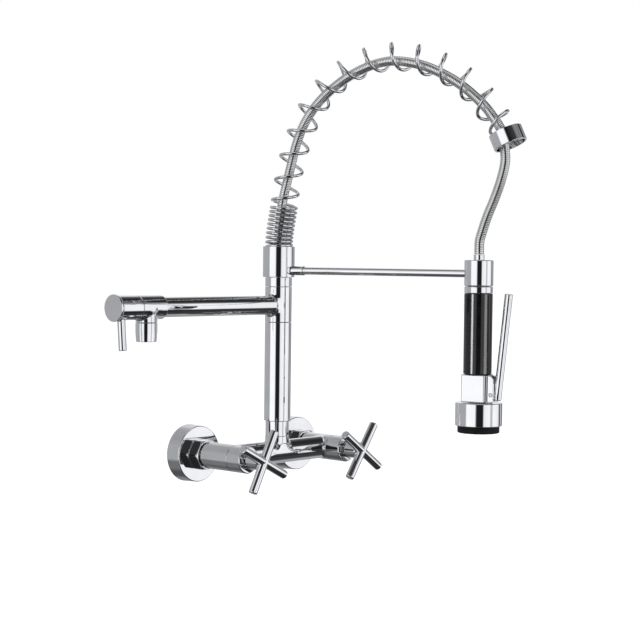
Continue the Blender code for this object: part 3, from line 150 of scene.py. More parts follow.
TOWER_TURN = -76.4
COLLAR_RADIUS = 0.0169
COLLAR_TOP = 0.2190
COLLAR_PORT_LOW = 0.2100
COLLAR_SCREW_RISE = 0.0018
RECESS_RADIUS = 0.0153
SPRING_SEAT = 0.2150
ARM_HEIGHT = 0.1935
ARM_REACH = 0.2315
ARM_RADIUS = 0.0039
ARM_START = 0.0121
ARM_END = 0.2188
ARM_BORE = 0.0042
ARM_SEAT = 0.0118
ARM_SOCKET_RADIUS = 0.0048
ARM_SOCKET_LENGTH = 0.0138
DOCK_RADIUS = 0.0145
DOCK_BORE = 0.0108
DOCK_LOW = 0.1812
DOCK_TOP = 0.2070
DOCK_ARM_SEAT = 0.0127
END_COLLAR_AT = (0.2572, 0.3345)
END_COLLAR_TILT = -24.0
END_RADIUS = 0.0170
END_LENGTH = 0.0158
END_SKIRT_BORE = 0.0150
END_SEAT = 0.0040
END_WEB_LOW = 0.0062
END_BORE = 0.0117

FERRULE_RADIUS = 0.0054
FERRULE_BORE = 0.0030
FERRULE_LOW = 0.2070
FERRULE_TOP = 0.2125
WAND_RADIUS = 0.0103
WAND_TOP = 0.2067
WAND_LOW = 0.1742
WAND_BEVEL = 0.0020
WAND_BORE = 0.0040
WAND_FLANGE_TOP = 0.1809
GRIP_RADIUS = 0.0142
GRIP_BORE = 0.0118
GRIP_TOP = 0.1739
GRIP_LOW = 0.0936
BLOCK_HALF = (0.0128, 0.0121)
BLOCK_LOW = 0.0655
BLOCK_TOP = 0.0933
EAR_ROOT = 0.0108
EAR_REACH = 0.0202
EAR_SIDES = (0.0043, 0.0070)
EAR_SETBACK = 0.0010
EAR_SHOULDER = 0.0890
PLUNGER_HEIGHT = 0.0820
PLUNGER_BORE = 0.0023
PIVOT = (0.0174, 0.0735)
PIVOT_BORE = 0.0018
PIVOT_BOSS = 0.0040
LEVER_RADIUS = 0.0040
LEVER_FOOT = (0.0219, 0.0680)
LEVER_TIP = (0.0326, 0.1738)
LEVER_HALF_WIDTH = 0.0035
LEVER_BOX = ((0.0134, -0.0040, 0.0660), (0.0368, 0.0040, 0.1745))
LEVER_WEB = ((0.0161, 0.0697), (0.0228, 0.0852))
SPRAY_OFFSET = 0.0020
SPRAY_RADIUS = 0.0236
SPRAY_BORE = 0.0213
SPRAY_TOP = 0.0652
SPRAY_WEB = 0.0629
SPRAY_LOW = 0.0420
FACE_TOP = 0.0480
FACE_LOW = 0.0350
FACE_DISH = 0.0010
NOZZLE_CIRCLES = ((1, 0), (7, 0.0065), (14, 0.0130))

HOSE_RADIUS = 0.0050
RIB_PITCH = 0.0018
RIB_DEPTH = 0.00032
SPRING_RADIUS = 0.0133
WIRE_RADIUS = 0.0017
SPRING_LEG = 0.0030
SPRING_PITCH = (
    (0.000, 0.0045), (0.042, 0.0045), (0.050, 0.0170), (0.065, 0.0245), (0.115, 0.0260),
    (0.145, 0.0287), (0.398, 0.0287), (0.405, 0.0150), (0.430, 0.0150),
)
SPRING_ROUTE = (
    (0.0010, 0.2330), (0.0050, 0.2570), (0.0088, 0.2818), (0.0141, 0.3062), (0.0225, 0.3319),
    (0.0355, 0.3594), (0.0540, 0.3824), (0.0765, 0.3988), (0.0995, 0.4088), (0.1260, 0.4133),
    (0.1535, 0.4112), (0.1805, 0.4035), (0.2060, 0.3900), (0.2285, 0.3712), (0.2455, 0.3500),
)
HOSE_ROUTE = (
    (0.0032, 0.2629), (0.0080, 0.2830), (0.0139, 0.3051), (0.0205, 0.3281), (0.0300, 0.3490),
    (0.0455, 0.3690), (0.0670, 0.3865), (0.0909, 0.3995), (0.1136, 0.4068), (0.1360, 0.4087),
    (0.1664, 0.4028), (0.1942, 0.3905), (0.2160, 0.3763), (0.2364, 0.3580), (0.2480, 0.3430),
)
DROP_ROUTE = (
    (0.2568, 0.3205), (0.2578, 0.3110), (0.2572, 0.2996), (0.2530, 0.2837), (0.2471, 0.2677),
    (0.2402, 0.2517), (0.2350, 0.2370),
)
HOSE_FOOT = 0.2226
HOSE_END = 0.2128


def moved(x=0.0, y=0.0, z=0.0):
    return Matrix.Translation((x, y, z))


def spun(degrees, axis):
    return Matrix.Rotation(math.radians(degrees), 4, axis)


VALVE = {"left": moved(-VALVE_X) @ spun(90, "X"), "right": moved(VALVE_X) @ spun(90, "X")}
HANDLE = {side: place @ spun(CROSS_TURN[side], "Z") for side, place in VALVE.items()}
COLUMN = moved(y=-COLUMN_OUT)
SPOUT = COLUMN @ spun(180, "Z")
OUTLET = SPOUT @ moved(OUTLET_REACH)
SPOUT_VALVE = SPOUT @ moved(z=SPOUT_HEIGHT) @ spun(90, "Y") @ spun(CAP_LEVER_TURN, "Z")
TOWER = COLUMN @ spun(TOWER_TURN, "Z")
END_COLLAR = TOWER @ moved(END_COLLAR_AT[0], 0, END_COLLAR_AT[1]) @ spun(END_COLLAR_TILT, "Y")
WAND = TOWER @ moved(ARM_REACH)
SPRAY = WAND @ moved(SPRAY_OFFSET)


# ---- camera
CAMERA_AT = (-1.25626, -1.28192, 0.20740)
CAMERA_TURN = math.radians(-47.20)
CAMERA_TILT = math.radians(2.16)
CAMERA_ROLL = 0.0115
FOCAL_LENGTH = 92.65
RIGHT = Vector((math.cos(CAMERA_TURN), math.sin(CAMERA_TURN), 0))
TOWARD = Vector((math.sin(CAMERA_TURN), -math.cos(CAMERA_TURN), 0))


def add_camera():
    back = TOWARD * math.cos(CAMERA_TILT) + Vector((0, 0, math.sin(CAMERA_TILT)))
    up = back.cross(RIGHT)
    side = RIGHT * math.cos(CAMERA_ROLL) + up * math.sin(CAMERA_ROLL)
    top = up * math.cos(CAMERA_ROLL) - RIGHT * math.sin(CAMERA_ROLL)
    lens = bpy.data.cameras.new("camera")
    lens.lens = FOCAL_LENGTH
    lens.clip_start = 0.05
    lens.clip_end = 60
    camera = bpy.data.objects.new("camera", lens)
    bpy.context.scene.collection.objects.link(camera)
    turn = Matrix((side, top, back)).transposed().to_4x4()
    camera.matrix_world = moved(*CAMERA_AT) @ turn
    bpy.context.scene.camera = camera


# ---- materials
# The near-black of painted shade, mixed into a colour where a piece closes in on itself.
PAINTED_SHADE_TINT = (0.03, 0.03, 0.035, 1)


class Graph:
    """The mixing nodes that a material and the world share."""

    def mix(self, factor, *pair):
        node = self.nodes.new("ShaderNodeMix")
        node.data_type = "RGBA"
        self.links.new(factor, node.inputs["Factor"])
        for socket, value in zip(node.inputs[6:8], pair):
            if isinstance(value, tuple):
                socket.default_value = value
            else:
                self.links.new(value, socket)
        return node.outputs[2]

    def mix_shaders(self, *sources):
        node = self.nodes.new("ShaderNodeMixShader")
        for socket, source in zip(node.inputs, sources):
            self.links.new(source, socket)
        return node.outputs[0]


class Look(Graph):
    """A node material under construction, in the object's own coordinates."""

    def __init__(self, name):
        self.made = bpy.data.materials.new(name)
        self.made.use_nodes = True
        self.nodes = self.made.node_tree.nodes
        self.links = self.made.node_tree.links
        self.shader = self.nodes["Principled BSDF"]
        self.where = self.nodes.new("ShaderNodeTexCoord").outputs["Object"]

    def noise(self, scale, detail):
        node = self.nodes.new("ShaderNodeTexNoise")
        node.inputs["Scale"].default_value = scale
        node.inputs["Detail"].default_value = detail
        self.links.new(self.where, node.inputs["Vector"])
        return node.outputs["Fac"]

    def ramp(self, factor, low, high, start=0.35, end=0.65):
        node = self.nodes.new("ShaderNodeValToRGB")
        node.color_ramp.elements[0].position = start
        node.color_ramp.elements[1].position = end
        node.color_ramp.elements[0].color = (*low, 1)
        node.color_ramp.elements[1].color = (*high, 1)
        self.links.new(factor, node.inputs["Fac"])
        return node.outputs["Color"]

    def between(self, factor, low, high):
        node = self.nodes.new("ShaderNodeMapRange")
        node.inputs["From Min"].default_value = 0.3
        node.inputs["From Max"].default_value = 0.7
        node.inputs["To Min"].default_value = low
        node.inputs["To Max"].default_value = high
        self.links.new(factor, node.inputs["Value"])
        return node.outputs["Result"]

    def with_painted_shade(self, tint, distance):
        """Painted shade: darkens a colour by occlusion where the piece closes in on itself."""
        cover = self.nodes.new("ShaderNodeAmbientOcclusion")
        cover.only_local = True
        cover.samples = 8
        cover.inputs["Distance"].default_value = distance
        share = self.ramp(cover.outputs["AO"], (0, 0, 0), (1, 1, 1), 0.3, 0.85)
        return self.mix(share, PAINTED_SHADE_TINT, tint)

    def bump(self, height, strength, distance):
        node = self.nodes.new("ShaderNodeBump")
        node.inputs["Strength"].default_value = strength
        node.inputs["Distance"].default_value = distance
        self.links.new(height, node.inputs["Height"])
        self.links.new(node.outputs["Normal"], self.shader.inputs["Normal"])

    def feed(self, socket, output):
        self.links.new(output, self.shader.inputs[socket])

    def fixed(self, **values):
        for socket, value in values.items():
            self.shader.inputs[socket.replace("_", " ")].default_value = value


def metal(name, dark, bright, smooth, rough, grain, depth, hollow=None):
    """A metal between two tints and two roughnesses, its skin uneven at a noise scale of grain by
    depth metres. Within hollow metres of itself its colour darkens with painted shade."""
    look = Look(name)
    look.fixed(Metallic=1.0)
    tint = look.ramp(look.noise(45, 2), dark, bright)
    look.feed("Base Color", look.with_painted_shade(tint, hollow) if hollow else tint)
    look.feed("Roughness", look.between(look.noise(70, 4), smooth, rough))
    look.bump(look.noise(grain, 2), 0.2, depth)
    return look.made


def plastic(name, dark, bright, smooth, rough, grain, depth, shine=0.5):
    """A plastic or rubber, in the same terms as metal."""
    look = Look(name)
    look.fixed(Metallic=0.0, IOR=1.5, Specular_IOR_Level=shine)
    look.feed("Base Color", look.ramp(look.noise(60, 3), dark, bright))
    look.feed("Roughness", look.between(look.noise(110, 3), smooth, rough))
    look.bump(look.noise(grain, 3), 0.3, depth)
    return look.made


CHROME = metal("chrome", (0.86, 0.865, 0.88), (0.91, 0.915, 0.925), 0.008, 0.022, 60, 0.00001)
# The spring wire's colour darkens with painted shade between its close turns.
WIRE_CHROME = metal(
    "wire_chrome", (0.84, 0.85, 0.87), (0.90, 0.905, 0.92), 0.005, 0.02, 120, 0.00001, hollow=0.004
)
HOSE_STEEL = metal("hose_steel", (0.84, 0.84, 0.83), (0.93, 0.93, 0.92), 0.08, 0.13, 900, 0.00001)
SCREW_STEEL = metal("screw_steel", (0.60, 0.60, 0.61), (0.76, 0.76, 0.77), 0.16, 0.26, 700, 0.00004)
BRASS = metal("brass", (0.62, 0.45, 0.20), (0.80, 0.62, 0.32), 0.24, 0.38, 500, 0.00004)
GRIP_BLACK = plastic(
    "grip_black", (0.004, 0.004, 0.005), (0.010, 0.010, 0.011), 0.09, 0.13, 240, 0.00001
)
RUBBER = plastic(
    "black_rubber", (0.004, 0.004, 0.005), (0.009, 0.009, 0.010), 0.48, 0.62, 900, 0.00006, shine=0.2
)
WHITE_PLASTIC = plastic(
    "white_plastic", (0.74, 0.74, 0.72), (0.84, 0.84, 0.82), 0.34, 0.46, 600, 0.00003
)
SLOT_OF = {
    CHROME: "chrome",
    WIRE_CHROME: "chrome",
    HOSE_STEEL: "hose_steel",
    SCREW_STEEL: "steel",
    BRASS: "brass",
    GRIP_BLACK: "black_gloss",
    RUBBER: "black_rubber",
    WHITE_PLASTIC: "white_plastic",
}


# ---- making pieces
BROKEN_EDGE = 0.0003
FILLET_ROOM = 0.45
FILLET_STEP = 18
STRAIGHT = math.radians(0.5)
ON_AXIS = 1e-7


def mesh_from(name, points, faces, normals=None):
    mesh = bpy.data.meshes.new(name)
    mesh.from_pydata(np.asarray(points).tolist(), [], [list(face) for face in faces])
    mesh.shade_smooth()
    if normals is not None:
        mesh.normals_split_custom_set_from_vertices(np.asarray(normals).tolist())
    return mesh


def piece(name, mesh, place, body, look, *nodes):
    """Puts a mesh on its body, in place of the nodes that it stands for."""
    obj = bpy.data.objects.new(name, mesh)
    bpy.context.scene.collection.objects.link(obj)
    mesh.materials.append(look)
    obj.matrix_world = place
    if body:
        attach(obj, body)
    if nodes:
        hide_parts(*nodes)
    return obj


def rounded(profile, closed, fillet):
    """The outline with each corner turned into an arc: a list of (radius, height, normal)."""
    count = len(profile)
    corners = [Vector(point[:2]) for point in profile]
    rows = []
    for i in range(count):
        here = corners[i]
        before = corners[i - 1]
        after = corners[(i + 1) % count]
        if not closed and i in (0, count - 1):
            line = (after - here) if i == 0 else (here - before)
            line.normalize()
            rows.append((here.x, here.y, Vector((-line.y, line.x))))
            continue
        first = (here - before).normalized()
        second = (after - here).normalized()
        turn = first.angle_signed(second, 0.0)
        if abs(turn) < STRAIGHT:
            normal = (Vector((-first.y, first.x)) + Vector((-second.y, second.x))).normalized()
            rows.append((here.x, here.y, normal))
            continue
        size = profile[i][2] if len(profile[i]) > 2 else fillet
        cut_back = abs(math.tan(turn / 2)) * size
        room = FILLET_ROOM * min((here - before).length, (after - here).length)
        if cut_back > room:
            size *= room / cut_back
            cut_back = room
        start = here - first * cut_back
        end = here + second * cut_back
        n_start = Vector((-first.y, first.x))
        n_end = Vector((-second.y, second.x))
        convex = n_start.dot(second) < 0
        centre = start - n_start * size if convex else start + n_start * size
        parts = max(2, round(abs(math.degrees(turn)) / FILLET_STEP))
        rows.append((start.x, start.y, n_start))
        for k in range(1, parts):
            share = k / parts
            rest = 1 - share
            normal = n_start * math.sin(rest * abs(turn)) + n_end * math.sin(share * abs(turn))
            normal.normalize()
            point = centre + normal * size if convex else centre - normal * size
            rows.append((point.x, point.y, normal))
        rows.append((end.x, end.y, n_end))
    return rows


def turned_mesh(name, profile, steps=96, fillet=BROKEN_EDGE):
    """Turns a (radius, height[, fillet]) profile about Z, with exact normals."""
    closed = profile[0][0] > 0
    rows = rounded(profile, closed, fillet)
    points, normals, faces, firsts = [], [], [], []
    for radius, height, normal in rows:
        firsts.append(len(points))
        if radius < ON_AXIS:
            points.append((0, 0, height))
            normals.append((0, 0, 1 if normal.y > 0 else -1))
            continue
        for k in range(steps):
            angle = 2 * math.pi * k / steps
            cos, sin = math.cos(angle), math.sin(angle)
            points.append((radius * cos, radius * sin, height))
            normals.append((normal.x * cos, normal.x * sin, normal.y))
    pairs = list(zip(range(len(rows)), range(1, len(rows))))
    if closed:
        pairs.append((len(rows) - 1, 0))
    for i, j in pairs:
        a, b = firsts[i], firsts[j]
        for k in range(steps):
            m = (k + 1) % steps
            if rows[i][0] < ON_AXIS:
                faces.append((a, b + k, b + m))
            elif rows[j][0] < ON_AXIS:
                faces.append((a + k, b, a + m))
            else:
                faces.append((a + k, b + k, b + m, a + m))
    return mesh_from(name, points, faces, normals)


def turned(name, profile, place, body, node, look=CHROME, steps=96):
    return piece(name, turned_mesh(name, profile, steps), place, body, look, node)


def ring(radius, bore, low, high, edge=BROKEN_EDGE):
    return [(radius, high, edge), (radius, low, edge), (bore, low), (bore, high)]


def cup(radius, low, high, edges, bore, web, port):
    """A sleeve with a bore up to its web and a narrower port through that."""
    outside = [(radius, high, edges[0]), (radius, low, edges[1])]
    return outside + [(bore, low), (bore, web), (port, web), (port, high)]


def rod(radius, low, high, edge=BROKEN_EDGE):
    return [(0, high), (radius, high, edge), (radius, low), (0, low)]


def round_box(radius, low, high):
    return (-radius, -radius, low), (radius, radius, high)


# ---- shapes given by a distance
SMALL_CELL = 0.0004
VALVE_CELL = 0.00045
CELL = 0.0005
LARGE_CELL = 0.00065
NET_MARGIN = 1.5
SETTLING_ROUNDS = 3
LEAST_SLOPE = 0.05


def span(value, low, high):
    """Distance to the stretch between two values."""
    return np.abs(value - (low + high) / 2) - (high - low) / 2


def cylinder(p, axis, radius, low, high, at=(0, 0), edge=0.0):
    """Distance to a round bar along an axis, centred at `at` in the other two."""
    u, v = [k for k in range(3) if k != axis]
    across = np.hypot(p[:, u] - at[0], p[:, v] - at[1]) - radius + edge
    along = span(p[:, axis], low, high) + edge
    outside = np.hypot(np.maximum(across, 0), np.maximum(along, 0))
    return np.minimum(np.maximum(across, along), 0) + outside - edge


def slab(p, low, high, edge):
    """Distance to a block between two corners, its edges rounded."""
    out = span(p, np.array(low), np.array(high)) + edge
    inside = np.minimum(out.max(axis=1), 0)
    return np.linalg.norm(np.maximum(out, 0), axis=1) + inside - edge


def melt(a, b, width):
    """Union of two distances with a fillet of about that width."""
    share = np.clip(0.5 + 0.5 * (b - a) / width, 0, 1)
    return b * (1 - share) + a * share - width * share * (1 - share)


def meet(a, b, width):
    """What two shapes share, its new edges eased."""
    return -melt(-a, -b, width)


def carve(a, b, width=BROKEN_EDGE):
    """What is left of a once b is taken out, its new edges eased."""
    return -melt(-a, b, width)


def drilled(p, shape, *holes):
    """The shape with round holes, each given as cylinder takes it."""
    for hole in holes:
        shape = carve(shape, cylinder(p, *hole))
    return shape


def bevel(across, along, slope):
    """Distance to a face that leans in by slope as it goes along."""
    return (across + slope * along) / math.hypot(1, slope)


def slopes(field, points, step):
    out = np.zeros_like(points)
    for axis in range(3):
        shift = np.zeros(3)
        shift[axis] = step
        out[:, axis] = (field(points + shift) - field(points - shift)) / (2 * step)
    return out


def shaped_mesh(name, field, box, cell):
    """Nets the surface where the field is zero, and gives it the field's own normals."""
    margin = NET_MARGIN * cell
    axes = [np.arange(a - margin, b + margin, cell) for a, b in zip(*box)]
    grid = np.stack(np.meshgrid(*axes, indexing="ij"), -1)
    sizes = grid.shape[:3]
    value = field(grid.reshape(-1, 3)).reshape(sizes)
    inside = value < 0
    cells = tuple(n - 1 for n in sizes)
    total = np.zeros(cells + (3,))
    hits = np.zeros(cells)
    for axis in range(3):
        near = np.moveaxis(value, axis, 0)[:-1]
        far = np.moveaxis(value, axis, 0)[1:]
        crossed = (near < 0) != (far < 0)
        share = np.where(crossed, near / np.where(crossed, near - far, 1), 0)
        spots = np.moveaxis(grid, axis, 0)[:-1].copy()
        spots[..., axis] += share * cell
        weighted = np.moveaxis(spots * crossed[..., None], 0, axis)
        crossed = np.moveaxis(crossed, 0, axis)
        others = [k for k in range(3) if k != axis]
        for first in (0, 1):
            for second in (0, 1):
                window = [slice(None)] * 3
                window[others[0]] = slice(first, first + cells[others[0]])
                window[others[1]] = slice(second, second + cells[others[1]])
                total += weighted[tuple(window)]
                hits += crossed[tuple(window)]
    active = hits > 0
    index = np.full(cells, -1)
    index[active] = np.arange(active.sum())
    points = total[active] / hits[active][:, None]
    faces = []
    for axis in range(3):
        order = (axis, (axis + 1) % 3, (axis + 2) % 3)
        full = np.transpose(inside, order)
        numbers = np.transpose(index, order)
        change = full[:-1, 1:-1, 1:-1] != full[1:, 1:-1, 1:-1]
        i, j, k = np.nonzero(change)
        corners = ((j, k), (j + 1, k), (j + 1, k + 1), (j, k + 1))
        quad = np.stack([numbers[i, a, b] for a, b in corners], 1)
        leaving = full[i, j + 1, k + 1]
        quad[~leaving] = quad[~leaving][:, ::-1]
        faces.append(quad)
    step = cell * 0.05
    for _ in range(SETTLING_ROUNDS):
        grad = slopes(field, points, step)
        steep = np.maximum((grad**2).sum(1), LEAST_SLOPE)[:, None]
        push = field(points)[:, None] * grad / steep
        points -= np.clip(push, -cell / 2, cell / 2)
    grad = slopes(field, points, step)
    normals = grad / np.linalg.norm(grad, axis=1)[:, None]
    return mesh_from(name, points, np.concatenate(faces).tolist(), normals)


def shaped(name, field, box, cell, place, body, node):
    return piece(name, shaped_mesh(name, field, box, cell), place, body, CHROME, node)


# ---- routes
def lengths_along(line):
    lengths = [0.0]
    for a, b in zip(line, line[1:]):
        lengths.append(lengths[-1] + (b - a).length)
    return lengths


def spots(marks, targets):
    """For each of the rising targets: the mark before it, and its share of the way to the next."""
    at = 0
    for target in targets:
        while at < len(marks) - 2 and marks[at + 1] < target:
            at += 1
        yield at, (target - marks[at]) / (marks[at + 1] - marks[at])


def smooth_route(points, spacing, start, end):
    """Points at an even spacing on a Catmull-Rom curve, leaving along start, meeting end."""
    line = [Vector(point) for point in points]
    before = line[1] - 2 * Vector(start) * (line[1] - line[0]).length
    after = line[-2] + 2 * Vector(end) * (line[-1] - line[-2]).length
    line = [before] + line + [after]
    fine = []
    parts = 24
    for a, b, c, d in zip(line, line[1:], line[2:], line[3:]):
        for i in range(parts):
            t = i / parts
            square = (2 * a - 5 * b + 4 * c - d) * t * t
            cube = (3 * b - a - 3 * c + d) * t * t * t
            fine.append((2 * b + (c - a) * t + square + cube) / 2)
    fine.append(line[-2])
    lengths = lengths_along(fine)
    count = round(lengths[-1] / spacing)
    targets = [lengths[-1] * i / count for i in range(count + 1)]
    return [fine[at].lerp(fine[at + 1], share) for at, share in spots(lengths, targets)]


def pitch_at(length):
    for (low, first), (high, last) in zip(SPRING_PITCH, SPRING_PITCH[1:]):
        if length < high:
            return first + (last - first) * (length - low) / (high - low)
    return SPRING_PITCH[-1][1]


def spring_line(per_turn):
    """Middle line of the wire in the tower's frame: a helix about the route, run on a little way
    into the seat at each end."""
    up = Vector((0, 1))
    tilt = math.radians(END_COLLAR_TILT)
    axis = Vector((math.sin(tilt), math.cos(tilt)))
    foot = Vector((0, SPRING_SEAT + GAP + SPRING_LEG))
    end = Vector(END_COLLAR_AT) + axis * (GAP + SPRING_LEG - END_SEAT)
    knots = (foot,) + SPRING_ROUTE + (end,)
    step = 0.0005
    route = smooth_route(knots, step, up, -axis)
    turns = [0.0]
    for i in range(1, len(route)):
        turns.append(turns[-1] + (route[i] - route[i - 1]).length / pitch_at(i * step))
    count = round(turns[-1] * per_turn)
    sink = SPRING_LEG - WIRE_RADIUS
    before = round(sink / SPRING_PITCH[0][1] * per_turn)
    after = round(sink / SPRING_PITCH[-1][1] * per_turn)
    targets = [turns[-1] * i / count for i in range(-before, count + after + 1)]
    points = []
    for target, (at, share) in zip(targets, spots(turns, targets)):
        middle = route[at] + (route[at + 1] - route[at]) * share
        along = (route[at + 1] - route[at]).normalized()
        outward = Vector((-along.y, along.x))
        angle = 2 * math.pi * target
        flat = middle + outward * (SPRING_RADIUS * math.cos(angle))
        points.append(Vector((flat.x, -SPRING_RADIUS * math.sin(angle), flat.y)))
    return points


def swept_mesh(name, line, radius_at, sides, across=None):
    """A closed tube along a line of points. radius_at(length, angle) gives its skin, and across
    is a direction that stays square to a flat route; a line in space carries its own along."""
    lengths = lengths_along(line)
    points, faces = [], []
    carried = Vector(across) if across else Vector((0, 0, 1))
    for i, here in enumerate(line):
        along = (line[min(i + 1, len(line) - 1)] - line[max(i - 1, 0)]).normalized()
        first = carried if across else (carried - along * carried.dot(along)).normalized()
        carried = first
        second = along.cross(first)
        for k in range(sides):
            angle = 2 * math.pi * k / sides
            radius = radius_at(lengths[i], angle)
            outward = first * (radius * math.cos(angle)) + second * (radius * math.sin(angle))
            points.append(here + outward)
    for i in range(len(line) - 1):
        for k in range(sides):
            m = (k + 1) % sides
            a, b = i * sides, (i + 1) * sides
            faces.append((a + k, a + m, b + m, b + k))
    faces.append(tuple(range(sides))[::-1])
    faces.append(tuple(range((len(line) - 1) * sides, len(line) * sides)))
    return mesh_from(name, points, faces)


# ---- hose and spring
RIB_POINTS = 8
HOSE_SIDES = 24
ARCH_SPACING = 0.0105
DROP_SPACING = 0.0045
POINTS_PER_TURN = 44
WIRE_SIDES = 16


def rib(length, angle):
    """The hose's skin: one flat rib that winds round it, with a narrow groove between turns."""
    phase = length / RIB_PITCH - angle / (2 * math.pi)
    hollow = 0.5 - 0.5 * math.cos(2 * math.pi * phase)
    return HOSE_RADIUS - RIB_DEPTH * hollow**6


def lift(points):
    return [Vector((point[0], 0, point[1])) for point in points]


def hose_lines():
    up = Vector((0, 1))
    leg = 2 * HOSE_RADIUS
    foot = Vector((0, HOSE_FOOT))
    leave = Vector(DROP_ROUTE[0])
    down = (Vector(DROP_ROUTE[1]) - leave).normalized()
    knots = (foot + up * leg,) + HOSE_ROUTE + (leave - down * (GAP + leg),)
    arch = [foot, foot + up * leg / 2] + smooth_route(knots, ARCH_SPACING, up, down)
    arch += [leave - down * (GAP + leg / 2), leave - down * GAP]
    end = Vector((ARM_REACH, HOSE_END))
    drop_knots = DROP_ROUTE[1:] + (end + up * leg,)
    drop = [leave, leave + down * (Vector(DROP_ROUTE[1]) - leave).length / 2]
    drop += smooth_route(drop_knots, DROP_SPACING, down, -up) + [end + up * leg / 2, end]
    return arch, drop


def resample(points, spacing):
    """The same line with points at an even spacing, rounded where it bends."""
    first = (points[1] - points[0]).normalized()
    last = (points[-1] - points[-2]).normalized()
    return smooth_route(points, spacing, first, last)


def hose_mesh(name, route):
    fine = lift(resample(route, RIB_PITCH / RIB_POINTS))
    return swept_mesh(name, fine, rib, HOSE_SIDES, (0, 1, 0))


def hoses():
    arch, drop = hose_lines()
    piece("hose_in_arch", hose_mesh("hose_in_arch", arch), TOWER, "tower", HOSE_STEEL, "hose_arch")
    mesh = hose_mesh("hose_to_wand", drop)
    free = piece("hose_to_wand", mesh, TOWER, None, HOSE_STEEL, "hose_drop")
    path = [TOWER @ point for point in lift(resample(drop, DROP_SPACING))]
    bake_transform(free)


def spring():
    line = spring_line(POINTS_PER_TURN)
    mesh = swept_mesh("spring_wire", line, lambda length, angle: WIRE_RADIUS, WIRE_SIDES)
    piece("spring_wire", mesh, TOWER, "tower", WIRE_CHROME, "arch_spring")


# ---- valves
def hexagon(p, flats, edge):
    """Distance to a six-sided bar along Z, its corners eased."""
    sides = []
    for degrees in (30, 90, 150):
        angle = math.radians(degrees)
        sides.append(np.abs(p[:, 0] * math.cos(angle) + p[:, 1] * math.sin(angle)) - flats / 2)
    return meet(meet(sides[0], sides[1], edge), sides[2], edge)


def nut_field(p):
    radius = np.hypot(p[:, 0], p[:, 1])
    body = hexagon(p, NUT_FLATS, 0.0012)
    ends = span(p[:, 2], NUT_BACK, NUT_FRONT)
    body = meet(body, bevel(radius - NUT_FLATS / 2, ends, 1.6), 0.0005)
    body = meet(body, ends, 0.0005)
    body = drilled(p, body, (2, NUT_BORE, NUT_BACK - RUN_OUT, NUT_FRONT - NUT_LIP))
    return carve(body, cylinder(p, 2, TAIL_BORE, NUT_BACK, NUT_FRONT + RUN_OUT), 0.0008)


def cross_field(p):
    radius = np.hypot(p[:, 0], p[:, 1])
    hub = cylinder(p, 2, HUB_RADIUS, HUB_BACK, HUB_FRONT, edge=0.0006)
    hub = meet(hub, bevel(radius - HUB_RADIUS, p[:, 2] - HUB_CONE, 1.1), 0.0012)
    bar = CROSS_BAR_RADIUS, -CROSS_REACH, CROSS_REACH, (0, CROSS_OUT), 0.0011
    bars = np.minimum(cylinder(p, 0, *bar), cylinder(p, 1, *bar))
    return drilled(
        p, melt(hub, bars, 0.0010),
        (2, STEM_BORE, HUB_BACK - RUN_OUT, STEM_SEAT),
        (1, SCREW_BORE, -0.012, 0, (0, GRUB_OUT)),
    )


def valves():
    box = round_box(NUT_REACH, NUT_BACK, NUT_FRONT)
    nut = shaped_mesh("union_nut", nut_field, box, VALVE_CELL)
    box = round_box(CROSS_REACH, HUB_BACK, CROSS_OUT + CROSS_BAR_RADIUS)
    cross = shaped_mesh("cross", cross_field, box, VALVE_CELL)
    rim = FLANGE_RADIUS - FLANGE_TAPER
    web = FLANGE_DEPTH - FLANGE_WALL
    flange = [
        (rim, FLANGE_DEPTH, 0.0011), (FLANGE_RADIUS, 0), (FLANGE_RADIUS - FLANGE_WALL, 0),
        (rim - FLANGE_WALL, web, 0.0006), (FLANGE_BORE, web), (FLANGE_BORE, FLANGE_DEPTH),
    ]
    outside = BONNET_RADIUS, BONNET_BACK, BONNET_FRONT, (0.0013, 0.0005)
    bonnet = cup(*outside, CARTRIDGE_BORE, BONNET_WEB, STEM_BORE)
    for side, place in VALVE.items():
        turned("flange_" + side, flange, place, "base", "wall_flange_" + side, steps=160)
        piece("nut_" + side, nut.copy(), place, "base", CHROME, "union_nut_" + side)
        turned("bonnet_sleeve_" + side, bonnet, place, "base", "bonnet_" + side)
        body = "handle_" + side
        piece("cross_" + side, cross.copy(), HANDLE[side], body, CHROME, "cross_handle_" + side)


# ---- bridge and column
def bridge_field(p):
    bar = cylinder(p, 0, BAR_RADIUS, -BAR_REACH, BAR_REACH, (-COLUMN_OUT, 0))
    rise = np.clip((TEE_FILLET - p[:, 2]) / TEE_FILLET, 0, 1)
    spread = TEE_FILLET * (1 - np.sqrt(1 - rise**2)) * TEE_SPREAD
    across = np.hypot(np.maximum(np.abs(p[:, 0]) - spread, 0), p[:, 1] + COLUMN_OUT)
    across = across - TEE_RADIUS - NECK_LIP * (p[:, 2] > NECK_LIP_LOW)
    neck = np.maximum(across, span(p[:, 2], 0, TEE_TOP))
    shape = melt(bar, neck, 0.0032)
    spot = (0, -COLUMN_OUT)
    neck = cylinder(p, 2, NECK_RADIUS, NECK_LIP_LOW, TEE_TOP, spot, BROKEN_EDGE)
    shape = melt(shape, neck, 0.0008)
    front, back = -BARREL_FRONT_OUT, -BARREL_BACK_OUT
    for x in (-VALVE_X, VALVE_X):
        shape = melt(shape, cylinder(p, 1, BARREL_RADIUS, front, back, (x, 0), 0.0006), 0.0022)
        shape = drilled(
            p, shape,
            (1, CARTRIDGE_BORE, front - RUN_OUT, -CARTRIDGE_SEAT, (x, 0)),
            (1, TAIL_BORE, back - TAIL_THREAD, back + RUN_OUT, (x, 0)),
        )
    return drilled(p, shape, (2, WATERWAY_RADIUS, 0, TEE_TOP + RUN_OUT, spot))


